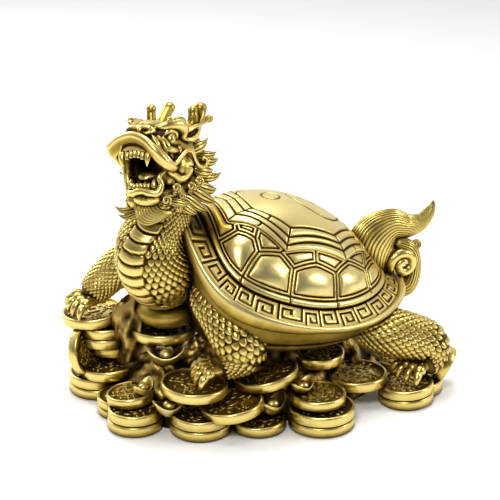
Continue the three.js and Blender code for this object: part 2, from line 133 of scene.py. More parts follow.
def brass(name, bright, olive, patina, roughness, grain=0.05):
    metal = bpy.data.materials.new(name)
    metal.use_nodes = True
    nodes, links = metal.node_tree.nodes, metal.node_tree.links
    shader = nodes["Principled BSDF"]
    worn = nodes.new("ShaderNodeAttribute")
    worn.attribute_name = "worn"
    place = nodes.new("ShaderNodeTexCoord")

    def noise(scale, detail):
        n = nodes.new("ShaderNodeTexNoise")
        n.inputs["Scale"].default_value = scale
        n.inputs["Detail"].default_value = detail
        n.inputs["Roughness"].default_value = 0.6
        links.new(place.outputs["Object"], n.inputs["Vector"])
        return n.outputs["Fac"]

    def maths(operation, *values):
        m = nodes.new("ShaderNodeMath")
        m.operation = operation
        for socket, value in zip(m.inputs, values):
            if isinstance(value, (int, float)):
                socket.default_value = value
            else:
                links.new(value, socket)
        return m.outputs[0]

    def spread(value, top, low, high, socket):
        """Sends a value from 0 to top to a socket of the shader, as low to high."""
        m = nodes.new("ShaderNodeMapRange")
        for key, number in (("From Max", top), ("To Min", low), ("To Max", high)):
            m.inputs[key].default_value = number
        links.new(value, m.inputs["Value"])
        links.new(m.outputs["Result"], shader.inputs[socket])

    close = nodes.new("ShaderNodeAmbientOcclusion")
    close.inputs["Distance"].default_value = HOLLOW_REACH
    close.samples = 6
    open_sky = maths("POWER", close.outputs["AO"], HOLLOW_POWER)
    blotch = maths("MULTIPLY_ADD", noise(70, 5), 0.5, -0.25)
    rubbed_and_shaded = maths("MULTIPLY", maths("ADD", worn.outputs["Fac"], blotch), open_sky)
    ramp = nodes.new("ShaderNodeValToRGB")
    set_stops(ramp.color_ramp, [(PATINA_TO, patina), (OLIVE_AT, olive), (BRIGHT_FROM, bright)])
    links.new(rubbed_and_shaded, ramp.inputs["Fac"])
    links.new(ramp.outputs["Color"], shader.inputs["Base Color"])
    smeared = maths("ADD", rubbed_and_shaded, maths("MULTIPLY", noise(260, 3), 0.12))
    spread(smeared, 0.7, PATINA_ROUGHNESS, roughness, "Roughness")
    spread(rubbed_and_shaded, 0.3, 0.9, 1.0, "Metallic")
    bump = nodes.new("ShaderNodeBump")
    bump.inputs["Strength"].default_value = grain
    bump.inputs["Distance"].default_value = GRAIN_DEPTH
    links.new(noise(420, 4), bump.inputs["Height"])
    links.new(bump.outputs["Normal"], shader.inputs["Normal"])
    return metal


cast_brass = brass("antique_brass", (0.80, 0.63, 0.20), (0.36, 0.24, 0.035), PATINA, 0.30)
satin_brass = brass("satin_brass", (0.84, 0.69, 0.28), (0.40, 0.27, 0.04), PATINA, 0.34, grain=0.03)
DARK_PATINA = (0.018, 0.009, 0.003)
dark_brass = brass("dark_brass", (0.55, 0.38, 0.11), (0.15, 0.09, 0.022), DARK_PATINA, 0.42, grain=0.5)


def skin(grid, worn):
    """A grid of points, closed round each row, as points, faces of four and how worn each point is."""
    rows, columns = grid.shape[:2]
    row, column = np.meshgrid(np.arange(rows - 1), np.arange(columns), indexing="ij")
    here, after = row * columns + column, row * columns + (column + 1) % columns
    faces = np.stack([here, after, after + columns, here + columns], -1)
    return grid.reshape(-1, 3), faces.reshape(-1, 4), np.broadcast_to(worn, grid.shape[:2]).ravel()


def poured(name, skins):
    """One mesh, in metres, from skins in millimetres."""
    starts = np.cumsum([0] + [len(points) for points, _, _ in skins])
    points = np.vstack([s[0] for s in skins]) * 0.001
    faces = np.vstack([s[1] + start for s, start in zip(skins, starts)])
    mesh = bpy.data.meshes.new(name)
    mesh.vertices.add(len(points))
    mesh.vertices.foreach_set("co", points.ravel())
    mesh.loops.add(faces.size)
    mesh.loops.foreach_set("vertex_index", faces.ravel().astype(np.int32))
    mesh.polygons.add(len(faces))
    mesh.polygons.foreach_set("loop_start", np.arange(len(faces), dtype=np.int32) * 4)
    mesh.update(calc_edges=True)
    return mesh


def finished(name, mesh, worn, metal):
    """Makes one piece of the casting from a mesh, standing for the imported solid."""
    mesh.polygons.foreach_set("use_smooth", np.ones(len(mesh.polygons), dtype=bool))
    mesh.attributes.new("worn", "FLOAT", "POINT").data.foreach_set("value", worn.astype(np.float32))
    mesh.materials.append(metal)
    piece = bpy.data.objects.new(name, mesh)
    bpy.context.scene.collection.objects.link(piece)
    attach(piece, "root")
    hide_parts("dragon_turtle")


def cast(name, skins, metal):
    finished(name, poured(name, skins), np.concatenate([worn for _, _, worn in skins]), metal)


def direction(way):
    return way / (np.linalg.norm(way, axis=-1, keepdims=True) + 1e-9)


def normals_of(grid):
    """The outward direction at each point of a grid that runs round and then down."""
    around = np.roll(grid, -1, 1) - np.roll(grid, 1, 1)
    return direction(np.cross(np.gradient(grid, axis=0), around))


# The shell is a dome on a sloping band, with a rounded lip and a skirt with one ledge below it. Its oval
# outlines are blunter in front, where they arch up over the neck.
RIM = dict(middle=-5, rear=102, front=61, half=70, blunt=3.4, low=60, dip=55, sag=10, arch=36)
FOOT = dict(middle=0, rear=82, front=48, half=54, blunt=3.8, low=67, dip=55, sag=11.5, arch=30)
CROWN = np.array([-12, 0, 131.5])
BOARD_MIDDLE = 14.5
BOARD_CORNERS = ((63, 15), (39.7, 33.5), (-3.3, 39), (-32.3, 18.3))
BELLY_HEIGHT = 38
ARCH_POWER = 2.4
DOME_FALL, SIDE_FALL = 2.3, 0.5


def oval(form, angle, scale=1.0, drop=0.0):
    """Points of an outline, drawn in towards the crown by scale and lowered by drop."""
    c, s = np.cos(angle), np.sin(angle)
    power = np.where(c > 0, 2, form["blunt"])
    reach = np.sign(c) * np.abs(c) ** (2 / power)
    side = np.sign(s) * np.abs(s) ** (2 / power)
    x = form["middle"] + np.where(c > 0, form["rear"], form["front"]) * reach
    rise = np.where(c > 0, 0, form["arch"] * np.clip(1 - side**2, 0, 1) ** ARCH_POWER)
    z = form["low"] + form["sag"] * ((x - form["dip"]) / 60) ** 2 + rise - drop
    return np.stack([CROWN[0] + (x - CROWN[0]) * scale, form["half"] * side * scale, z], -1)


def dome_over(x, y):
    """The dome's point above a place of the plan."""
    x, y = np.broadcast_arrays(np.asarray(x, float), np.asarray(y, float))
    heading = np.arctan2(y, x - CROWN[0])
    low, high = heading - 1, heading + 1
    for _ in range(24):  # each turn halves the range that the foot's angle lies in
        angle = (low + high) / 2
        foot = oval(FOOT, angle)
        short = np.sin(np.arctan2(foot[..., 1], foot[..., 0] - CROWN[0]) - heading) < 0
        low, high = np.where(short, angle, low), np.where(short, high, angle)
    foot = oval(FOOT, low)
    out = np.hypot(x - CROWN[0], y) / np.hypot(foot[..., 0] - CROWN[0], foot[..., 1])
    fall = DOME_FALL + SIDE_FALL * (foot[..., 1] / FOOT["half"]) ** 2
    return np.stack([x, y, CROWN[2] + (foot[..., 2] - CROWN[2]) * out**fall], -1)


def eight(corners):
    """Eight corners round the board from the four on its far side, starting at the rear."""
    far = [tuple(c) for c in corners]
    near = [(x, -y) for x, y in reversed(far)]
    return np.array(near[-1:] + far + near[:-1], float)


def round_ring(corners, u, soften=0.0):
    """Plan points of an eight-sided ring, one side to each unit of u, with its corners softened."""
    ring = np.vstack([corners, corners[:1]])
    total = 0
    shifts = np.linspace(-soften, soften, 7)
    for shift in shifts:
        place = (u + shift) % 8
        k = np.minimum(place.astype(int), 7)
        w = (place - k)[..., None]
        total = total + ring[k] * (1 - w) + ring[k + 1] * w
    return total / len(shifts)


def board_edge(angle):
    """The plan of the board's edge in the direction of the foot at this angle."""
    ring = eight(BOARD_CORNERS)
    foot = oval(FOOT, angle)
    dx, dy = foot[..., 0] - BOARD_MIDDLE, foot[..., 1]
    share = 0
    for (ax, ay), (bx, by) in zip(ring, np.roll(ring, -1, 0)):
        out_x, out_y = by - ay, ax - bx
        share = np.maximum(share, (out_x * dx + out_y * dy) / (out_x * (ax - BOARD_MIDDLE) + out_y * ay))
    return BOARD_MIDDLE + dx / share, dy / share


def ease(x):
    x = np.clip(x, 0, 1)
    return x * x * (3 - 2 * x)


def line(distance, width):
    """1 in the middle of an engraved line and 0 at its edges."""
    return ease(1.35 - np.abs(distance) / (width / 2))


def near_path(points, path):
    """Millimetres from each point to the nearest stretch of a path."""
    best = np.full(points.shape[:-1], 1e9)
    for start, end in zip(path, path[1:]):
        way = end - start
        t = np.clip(((points - start) @ way) / (way @ way + 1e-9), 0, 1)
        best = np.minimum(best, np.linalg.norm(points - start - t[..., None] * way, axis=-1))
    return best


def on_dome(corners, steps=5):
    """A path over the dome through corners given in plan."""
    corners = np.array(corners, float)
    t = np.linspace(0, len(corners) - 1, (len(corners) - 1) * steps + 1)
    x, y = (np.interp(t, np.arange(len(corners)), corners[:, k]) for k in (0, 1))
    return dome_over(x, y)


# Board: three tiers of bars round a smooth field, in eight faces. A bar is whole or parted in the middle,
# and the field is parted by a wave, with a small ring in each half.
OUTER_LINE = ((59.7, 14.5), (39.7, 30.6), (-2.2, 37.4), (-26.8, 16.6))
INNER_LINE = ((55.6, 13.5), (37.4, 28.5), (0.2, 34.3), (-21.2, 17))
FIELD = ((51.5, 12), (34.7, 26.1), (2.9, 30.2), (-16.6, 16.8))
FACES_PARTED = (  # outermost bar first, one row for each face, round from the rear
    (1, 1, 1), (0, 1, 0), (0, 0, 1), (1, 1, 0), (0, 1, 1), (1, 0, 1), (0, 0, 0), (1, 0, 0),
)
TIER_HEIGHTS = (2.7, 2.4, 2.0, 1.6)
LINE_WIDE = 1.25
GROOVE = np.array([0, 0.3, 0.6, 0.9])
BOARD_EDGE = ((0.35, 1.9, 0), (0.6, 1.3, 0.2), (0.75, 0.5, 0.8), (0.8, -0.6, 1))  # out, height, how dark
FIELD_WAVES = ((31.0, -1), (-2.0, 1))  # centre and side of each bow
FIELD_RINGS = ((1.9, -3.2), (29.0, 3.2))
WAVE_RADIUS, RING_RADIUS = 16.5, 5.7
ENDS = np.array([0, 0.012, 0.024, 0.04])
side = np.concatenate([ENDS, np.linspace(0.06, 0.45, 15), 0.5 - ENDS[::-1][:-1], [0.5]])
side = np.concatenate([side, (1 - side[::-1])[1:-1]])
u = (np.arange(8)[:, None] + side[None, :]).ravel()
LINES = (FIELD, INNER_LINE, OUTER_LINE, BOARD_CORNERS)
rings = [round_ring(eight(corners), u, 0.06 if corners is FIELD else 0) for corners in LINES]
middle = np.array([BOARD_MIDDLE, 0.0])
board_rows = []


def add_row(plan, height, cut, tier=-1):
    """One ring of the board: its plan, its height over the dome, how deeply it is cut, and its tier."""
    board_rows.append((plan, height + 0 * u, cut + 0 * u, tier))


for t in np.linspace(0.01, 0.965, 46):
    add_row(middle + (rings[0] - middle) * t, TIER_HEIGHTS[0], 0)
away = (rings[0] - middle) / np.linalg.norm(rings[0] - middle, axis=-1, keepdims=True)
for offset in -GROOVE[:0:-1]:
    add_row(rings[0] + away * offset, TIER_HEIGHTS[0], line(offset, LINE_WIDE))
for tier in range(3):
    inner, outer = rings[tier], rings[tier + 1]
    long = np.linalg.norm(outer - inner, axis=-1)
    last = tier == 2
    places = [g / long for g in GROOVE] + [(0.9 + (long - 1.8) * t) / long for t in (0.2, 0.4, 0.6, 0.8)]
    places += [1 - g / long for g in (GROOVE[:0:-1] if not last else (0.9, 0.6, 0.3, 0.0))]
    for place in places:
        inside, outside = place * long, (1 - place) * long
        groove = line(inside, LINE_WIDE)
        height = TIER_HEIGHTS[tier + 1] + (TIER_HEIGHTS[tier] - TIER_HEIGHTS[tier + 1]) * 0.5 * groove
        height = height + 0.35 * np.sin(np.pi * np.clip(place, 0, 1)) ** 0.6
        if last:
            height = height + 0.55 * ease(1 - outside / 1.6)
        else:
            groove = np.maximum(groove, line(outside, LINE_WIDE))
        add_row(inner + (outer - inner) * place[:, None], height, groove, 2 - tier)
out = rings[3] - middle
out /= np.linalg.norm(out, axis=-1, keepdims=True)
for offset, height, dark in BOARD_EDGE:
    add_row(rings[3] + out * offset, height, dark)
plan, height, cut, tiers = (np.stack(part) for part in zip(*board_rows))
tiers = tiers[:, None]
around = np.linalg.norm(np.roll(plan, -1, 1) - np.roll(plan, 1, 1), axis=-1)
per_unit = around / np.maximum((np.roll(u, -1) - np.roll(u, 1)) % 8, 1e-6)[None, :]
from_corner = np.abs((u + 0.5) % 1 - 0.5)[None, :] * per_unit
cut = np.maximum(cut, line(from_corner, LINE_WIDE) * (tiers >= 0))
from_middle = np.abs(u % 1 - 0.5)[None, :] * per_unit
for face, parted in enumerate(FACES_PARTED):
    for tier, split in enumerate(parted):
        on = (u.astype(int) == face)[None, :] * (tiers == tier)
        cut = np.maximum(cut, split * on * line(from_middle, LINE_WIDE))
on_field = (tiers < 0) * (height > 2.6)
for centre, facing in FIELD_WAVES:
    bow = np.abs(np.hypot(plan[..., 0] - centre, plan[..., 1]) - WAVE_RADIUS)
    cut = np.maximum(cut, line(bow, 1.1) * (plan[..., 1] * facing > 0) * on_field)
for x, y in FIELD_RINGS:
    ring = np.abs(np.hypot(plan[..., 0] - x, plan[..., 1] - y) - RING_RADIUS)
    cut = np.maximum(cut, line(ring, 1.0) * on_field)
board = dome_over(plan[..., 0], plan[..., 1])
board = board + normals_of(board) * (height - 0.8 * cut)[..., None]
proud = 0.1 * (np.gradient(height, axis=0) < -0.05)
cast("shell_board", [skin(board, 0.86 + proud - 0.9 * cut)], satin_brass)

# Flank: two rings of plates round the dome. Each plate bulges inside a flat border between engraved
# lines, and one smooth rib runs round the foot.
SEAMS = (
    ((-42.5, -26.5), (-30.3, -26.6), (-21.7, -33.7), (-21.9, -39.7), (-37.5, -46.5)),
    ((-30.3, -26.6), (-29.7, -23.5)),
    ((-21.7, -33.7), (-18.5, -30)),
    ((-21.9, -39.7), (-7.4, -39.8), (-3.0, -38.5)),
    ((-7.4, -39.8), (-0.5, -44.6), (-7.6, -54)),
    ((-0.5, -44.6), (16.5, -41.1), (30.4, -40.9), (26.6, -51.5)),
    ((16.5, -41.1), (17.9, -37)),
    ((30.4, -40.9), (43, -32.7), (57.3, -28.5), (57.2, -37)),
    ((43, -32.7), (39, -33)),
    ((57.3, -28.5), (62, -15)),
    ((57.3, -28.5), (71, -12), (82, -14)),
    ((71, -12), (71, 12)),
    ((71, 0), (62, 0)),
)
RIB_WIDE, BORDER = 5.2, 2.4
SEAM_LINE, BORDER_LINE, FOOT_LINE = 1.35, 1.2, 1.6
columns, rows = 700, 84


def ran_along(path):
    """Millimetres from a path's start to each of its points."""
    return np.concatenate([[0], np.cumsum(np.linalg.norm(np.diff(path, axis=0), axis=-1))])


fine = np.linspace(0, 2 * np.pi, 4001)
ran = ran_along(oval(FOOT, fine))
angle = np.interp(np.linspace(0, ran[-1], columns, endpoint=False), ran, fine)[None, :]
share = np.concatenate([[0], np.linspace(0.012, 1, rows - 1)])[:, None]
edge_x, edge_y = board_edge(angle)
foot = oval(FOOT, angle)
flank = dome_over(edge_x + (foot[..., 0] - edge_x) * share, edge_y + (foot[..., 1] - edge_y) * share)
up = normals_of(flank)
stride = np.linalg.norm(np.diff(flank, axis=0), axis=-1)
above_foot = np.vstack([np.cumsum(stride[::-1], axis=0)[::-1], np.zeros((1, columns))])
ring = eight(BOARD_CORNERS)
seam = near_path(flank, on_dome(np.vstack([ring, ring[:1]])))
for corners in SEAMS:
    for side in (1, -1):
        seam = np.minimum(seam, near_path(flank, on_dome([(x, y * side) for x, y in corners])))
on_plate = above_foot > RIB_WIDE
inside = np.minimum(seam, np.abs(above_foot - RIB_WIDE))
border = np.maximum(line(inside, SEAM_LINE), line(inside - BORDER, BORDER_LINE))
cut = np.where(on_plate, border, line(inside, SEAM_LINE))
REACH = 6  # points to each side that soften a plate's swell
shifts = range(2 * REACH + 1)
soft = np.minimum(inside, 10.0)
for _ in range(3):
    wide = np.concatenate([soft[:, -REACH:], soft, soft[:, :REACH]], axis=1)
    soft = sum(wide[:, k:k + columns] for k in shifts) / len(shifts)
    tall = np.pad(soft, ((REACH, REACH), (0, 0)), mode="edge")
    soft = sum(tall[k:k + rows] for k in shifts) / len(shifts)
swell = 1.9 * ease((soft - 1.4) / 8.0) * ease((inside - BORDER) / 2.5) * on_plate
rib = 1.2 * np.sin(np.pi * np.clip(above_foot / RIB_WIDE, 0, 1)) ** 0.6
height = np.where(on_plate, 0.7 + swell, 0.3 + rib) - 1.0 * cut
cut = np.maximum(cut, line(above_foot, FOOT_LINE))
height -= 0.9 * line(above_foot, FOOT_LINE)
flank += up * height[..., None]
NECK_SHADOW_AT, NECK_SHADOW_REACH = np.array([-50, -12, 118]), 20


def neck_shadowed(points, worn):
    """Painted shadow of the neck: darkens the front of the shell near the neck, almost to the patina's black
    at its middle.
    """
    away = np.linalg.norm(points - NECK_SHADOW_AT, axis=-1)
    return worn * (1 - 0.97 * np.exp(-((away / NECK_SHADOW_REACH) ** 3)))


flank = np.concatenate([flank, oval(FOOT, angle, 0.965, 6)])
flank_worn = 0.80 + 0.06 * swell + 0.1 * (inside < BORDER) - 0.9 * cut
flank_worn = np.concatenate([flank_worn, np.zeros_like(angle)])
# the plates near the neck carry the neck's painted shadow
cast("shell_plates", [skin(flank, neck_shadowed(flank, flank_worn))], satin_brass)

# Band: a key pattern engraved between the rib and the rounded lip, with the skirt and its ledge below. The
# band's rows and columns of points run along the engraved lines, so that those stay sharp in the casting.
KEY_ENDS = np.radians([180, 205, 235, 264, 278.5, 297.5, 319, 340, 360])
KEY_ENDS_INNER = np.radians([180, 204, 231.5, 264.5, 279, 298.5, 321, 341, 360])
KEYS = (
    ((0.44, 0), (0.44, 0.80), (0.11, 0.80), (0.11, 0.22), (0.31, 0.22), (0.31, 0.50)),
    ((0.57, 1), (0.57, 0.22), (0.89, 0.22), (0.89, 0.78), (0.70, 0.78), (0.70, 0.50)),
)
UNIT_LONG, UNIT_TALL = 26.0, 14.0
KEY_LINE = 1.5
NEAR_LINE = np.array([-0.034, -0.022, -0.011, 0, 0.011, 0.022, 0.034])


def steps_of(lines, wide, plain):
    """Places from 0 to 1, close together at engraved lines, with a few plain ones between them."""
    near = {round(place + wide * b, 3) for place in lines for b in NEAR_LINE if 0 <= place + wide * b <= 1}
    return np.array(sorted({0.0, 1.0} | near | set(plain)))


BETWEEN_LINES = (0.16, 0.21, 0.26, 0.375, 0.505, 0.635, 0.76, 0.81)
along = steps_of((0, 0.11, 0.31, 0.44, 0.57, 0.70, 0.89, 1), 1, BETWEEN_LINES)[:-1]
across = steps_of((0, 0.22, 0.50, 0.79, 1), 1.8, (0.35, 0.65, 0.1, 0.9))[:, None]
unit = (np.arange(8)[:, None] + along[None, :]).ravel()
unit = np.append(unit, 8.0)
outer_angle = np.interp(unit, np.arange(9), KEY_ENDS)
inner_angle = np.interp(unit, np.arange(9), KEY_ENDS_INNER)
outer_angle = np.concatenate([outer_angle, 2 * np.pi - outer_angle[-2:0:-1]])[None, :]
inner_angle = np.concatenate([inner_angle, 2 * np.pi - inner_angle[-2:0:-1]])[None, :]
unit = np.concatenate([unit, unit[-2:0:-1]])[None, :]
inner, outer = oval(FOOT, inner_angle), oval(RIM, outer_angle, 0.95)
band = inner + (outer - inner) * across[..., None]
up = normals_of(band)
in_unit = unit % 1


def to_stretch(a, b, start, end):
    """Millimetres from places of a key unit to a stretch of its line."""
    px, py = (a - start[0]) * UNIT_LONG, (b - start[1]) * UNIT_TALL
    ex, ey = (end[0] - start[0]) * UNIT_LONG, (end[1] - start[1]) * UNIT_TALL
    t = np.clip((px * ex + py * ey) / (ex**2 + ey**2), 0, 1)
    return np.hypot(px - t * ex, py - t * ey)


MARGIN = 0.07
in_band = (across - MARGIN) / (1 - 2 * MARGIN)
cut = line(np.minimum(in_unit, 1 - in_unit) * UNIT_LONG, 1.3) * np.ones_like(across)
for key in KEYS:
    for start, end in zip(key, key[1:]):
        stretch = line(to_stretch(in_unit, in_band, start, end), KEY_LINE)
        cut = np.maximum(cut, stretch * (np.abs(in_band - 0.5) < 0.53))
cut = np.maximum(cut, line(across * UNIT_TALL, 1.6))
cut = np.maximum(cut, line((1 - across) * UNIT_TALL, 1.3))
band = band + up * (0.25 - 0.95 * cut)[..., None]
band = np.concatenate([oval(FOOT, inner_angle, 0.97, 2.5), band])
cut = np.concatenate([np.ones_like(unit), cut])

LIP_ROWS = (  # scale in plan, share of the lip's depth, millimetres out, how worn
    (0.950, 0.00, -0.6, 0.0), (0.955, 0.00, 0.6, 0.7), (0.962, 0.02, 1.4, 1.0), (0.973, 0.10, 1.8, 1.0),
    (0.985, 0.28, 1.7, 0.95), (0.995, 0.55, 1.2, 0.72), (1.000, 0.85, 0.6, 0.5), (1.000, 1.15, 0.0, 0.4),
    (0.992, 1.40, -0.8, 0.4), (0.976, 1.50, -1.8, 0.05), (0.955, 1.60, -1.6, 0.2),
)
SKIRT_ROWS = 31
LEDGE_WIDE = 2.4  # in rows of the skirt
turn_angle = outer_angle[0, ::2]
reach = oval(RIM, turn_angle)[:, 0]
deep = 1.6 + 6.2 * np.clip((10 - reach) / 70, 0, 1)
outward = np.stack([reach + 5, oval(RIM, turn_angle)[:, 1] * 1.6], -1)
outward /= np.linalg.norm(outward, axis=-1, keepdims=True)
lip_rows, skirt_rows, skirt_worn = [], [], []
for scale, fall, out, _ in LIP_ROWS:
    p = oval(RIM, turn_angle, scale, deep * fall)
    p[:, :2] += outward * (out * 0.55 - 0.8)
    p[:, 2] += out * 0.8
    lip_rows.append(p)
lip = np.stack(lip_rows)
lip_worn = np.array([row[3] for row in LIP_ROWS])[:, None] + 0 * lip[..., 0]
bottom = oval(RIM, turn_angle, 0.7)
bottom[:, 2] = BELLY_HEIGHT + (np.minimum(bottom[:, 2], RIM["low"] + 20) - BELLY_HEIGHT) * 0.25
for t in np.linspace(0, 1, SKIRT_ROWS):
    ledge = line((t - 0.5) * (SKIRT_ROWS - 1), LEDGE_WIDE)
    bulge = np.sin(np.pi * t) * 2.2 - 1.6 * ledge + 0.8 * ease((t - 0.5) * 12) * ease((1 - t) * 3)
    p = lip[-1] + (bottom - lip[-1]) * t
    p[:, :2] += outward * bulge
    p[:, 2] -= bulge * 0.6
    skirt_rows.append(p)
    skirt_worn.append(0.36 - 0.22 * t - 0.3 * ledge)
skirt = skin(np.stack(skirt_rows), np.array(skirt_worn)[:, None])
# the band and the lip near the neck carry the neck's painted shadow
skins = [skin(band, neck_shadowed(band, 0.82 - 0.9 * cut)), skin(lip, neck_shadowed(lip, lip_worn)), skirt]
cast("shell_rim", skins, satin_brass)

# Neck: a thick S-bend out of the shell. Its front carries smooth lapped belly plates, and the sides and
# back are covered in small fish scales that grow towards the chest.
def bend(stations, t):
    """Points of a smooth curve through the stations, with their radius, at places from 0 to 1."""
    s = np.asarray(stations, float)
    s = np.vstack([2 * s[0] - s[1], s, 2 * s[-1] - s[-2]])
    place = np.clip(t, 0, 1) * (len(s) - 3)
    k = np.minimum(place.astype(int), len(s) - 4)
    w = (place - k)[..., None]
    a, b, c, d = s[k], s[k + 1], s[k + 2], s[k + 3]
    return 0.5 * (2 * b + (c - a) * w + (2 * a - 5 * b + 4 * c - d) * w**2 + (3 * b - a - 3 * c + d) * w**3)


def tube(stations, flat=1.0, over=(0, 0, 1), blunt=6):
    """The surface of a limb with round ends: a function of the place along it and the angle round it."""

    def surface(t, angle, rise=0.0):
        t, angle = np.broadcast_arrays(np.asarray(t, float), np.asarray(angle, float))
        middle = bend(stations, t)
        along = direction(bend(stations, t + 1e-3)[..., :3] - bend(stations, t - 1e-3)[..., :3])
        across = direction(np.cross(np.array(over, float), along))
        above = np.cross(along, across)
        r = (middle[..., 3] + rise) * np.sqrt(np.clip(1 - np.abs(2 * t - 1) ** blunt, 0, 1))
        beside = (r * np.cos(angle))[..., None] * across
        return middle[..., :3] - beside + (r * flat * np.sin(angle))[..., None] * above

    return surface


def along_limb(count):
    """Places along a limb, closer together at its round ends."""
    s = np.linspace(0, 1, count)
    return (0.45 * s + 0.55 * (1 - np.cos(np.pi * s)) / 2)[:, None]


def round_limb(count):
    return np.linspace(0, 2 * np.pi, count, endpoint=False)[None, :]


def limb(stations, sides=24, rings=20, worn=0.8, relief=None, **shape):
    """A limb's skin. relief(t, angle) gives how far it stands proud and how worn it is there."""
    t, a = along_limb(rings), round_limb(sides)
    rise, bright = relief(t, a) if relief else (0.0, worn)
    return skin(tube(stations, **shape)(t, a, rise), bright)


SCALE_ROWS = np.array([-0.7, -0.1, 0.35, 0.7, 0.9, 0.97])[:, None]  # from its root to its free edge
SCALE_COLUMNS = np.array([-1, -0.8, 0, 0.8, 1])[None, :]
SCALE_STEP, SCALE_HALF_LONG, SCALE_HALF_WIDE = 0.62, 0.625, 0.53  # in widths of one scale


def scales(surface, count, start, end, keep=None, rise=0.32):
    """Rows of lapped scales on a limb, each free at its lower edge. count is how many go round it."""
    probe = np.linspace(start, end, 200)
    hoops = surface(probe[:, None], round_limb(48))
    girth = np.linalg.norm(np.diff(hoops, axis=1, append=hoops[:, :1]), axis=-1).sum(1)
    travel = ran_along(hoops.mean(1))
    places, far, odd = [], 0.0, 0
    while far < travel[-1]:
        t = np.interp(far, travel, probe)
        wide = np.interp(far, travel, girth) / count
        places += [(t, a, wide) for a in (np.arange(count) + 0.5 * odd) / count * 2 * np.pi]
        far += wide * SCALE_STEP
        odd = 1 - odd
    t, a, wide = np.array(places).T
    if keep is not None:
        chosen = keep(t, a % (2 * np.pi))
        t, a, wide = t[chosen], a[chosen], wide[chosen]
    p = surface(t, a)
    ahead = direction(surface(t + 2e-3, a) - surface(t - 2e-3, a))
    side = surface(t, a + 2e-2) - surface(t, a - 2e-2)
    side = direction(side - ahead * (side * ahead).sum(-1, keepdims=True))
    out = np.cross(side, ahead)
    middle = (surface(t, 0.0 * t) + surface(t, 0.0 * t + np.pi)) / 2
    out = np.where((out * (p - middle)).sum(-1, keepdims=True) < 0, -out, out)
    breadth = np.clip(1 - np.clip(SCALE_ROWS, 0, 1) ** 1.45, 0.02, 1) ** 0.7
    off, last = np.abs(SCALE_COLUMNS), SCALE_ROWS > 0.95
    x = SCALE_ROWS * SCALE_HALF_LONG + 0 * off
    y = SCALE_COLUMNS * breadth * SCALE_HALF_WIDE
    proud = ease((SCALE_ROWS + 0.9) / 1.6)
    z = rise * (0.15 + 0.85 * proud) * (1 - 0.45 * off**2 - 0.55 * off**8) - 0.02
    z = np.where(last, -0.12, z)
    bright = np.where(last, 0.0, 0.48 + 0.52 * proud - 0.12 * off**2 - 0.5 * (off > 0.9))
    ahead, side, out = (way[:, None, None] for way in (ahead, side, out))
    spread = x[..., None] * ahead + y[..., None] * side + z[..., None] * out
    grid = p[:, None, None] + wide[:, None, None, None] * spread
    n, rows, columns = grid.shape[:3]
    first = (np.arange(rows - 1)[:, None] * columns + np.arange(columns - 1)).reshape(-1, 1)
    one = first + (0, 1, columns + 1, columns)
    faces = (one[None] + (np.arange(n) * rows * columns)[:, None, None]).reshape(-1, 4)
    return grid.reshape(-1, 3), faces, np.broadcast_to(bright, (n, rows, columns)).ravel()


NECK = [
    (-46, 0, 84, 17), (-66, 0.5, 88, 21.5), (-75.5, -4.5, 99, 23.6), (-78.5, -6.5, 112, 22.5),
    (-76.5, -7, 122, 19.8), (-72, -8, 133, 17), (-67, -8, 146, 15), (-62, -8, 162, 14),
]
CHEST_HEADING = math.radians(211)
PLATE_LENGTH = 7.9
PLATE_PLACES = (0.0, 0.26, 0.33, 0.41, 0.5, 0.62, 0.7, 1.0)
PLATE_TURNS = (0.0, 0.0, 0.1, 0.04, -0.09, -0.17, -0.25, -0.4)
PLATE_HALVES = (0.3, 0.47, 0.48, 0.46, 0.38, 0.43, 0.42, 0.42)
over = (math.cos(CHEST_HEADING), math.sin(CHEST_HEADING), 0)
neck = tube(NECK, over=over)


def off_scutes(t, angle):
    """How far round from the middle of the belly plates, in half widths: the row turns with the neck."""
    middle = np.pi / 2 + np.interp(t, PLATE_PLACES, PLATE_TURNS)
    half = np.interp(t, PLATE_PLACES, PLATE_HALVES)
    return np.abs((angle - middle + np.pi) % (2 * np.pi) - np.pi) / half, half


def belly_plates(t, angle):
    """Smooth plates that lap upwards, with a dark seam at each and along both sides of the row."""
    off, half = off_scutes(t, angle)
    inside = off < 1
    probe = np.linspace(0, 1, 300)
    travel = ran_along(neck(probe, probe * 0 + np.pi / 2))
    place = (np.interp(t, probe, travel) / PLATE_LENGTH - 0.28 * off**2) % 1
    seam = line(np.minimum(place, 1 - place) * PLATE_LENGTH, 1.1)
    edge = line((off - 1) * half * 22, 1.3)
    lap = ease(place / 0.34) * (1 - 0.6 * place)
    pad = lap * (1 - 0.5 * off**4)
    rise = np.where(inside, 0.5 + 1.9 * pad, 0.1) - 0.7 * np.maximum(seam * inside, edge)
    return rise, np.where(inside, 0.62 + 0.34 * lap - 0.95 * seam, 0.1) * (1 - 0.95 * edge)


def neck_from_top(t, angle, rise=0.0):
    return neck(1 - t, angle, rise)


def off_plates(t, angle):
    return off_scutes(1 - t, angle)[0] > 1.03


skins = [limb(NECK, sides=132, rings=244, relief=belly_plates, over=over)]
skins.append(scales(neck_from_top, 33, 0.06, 0.93, keep=off_plates, rise=0.38))
cast("neck", skins, cast_brass)

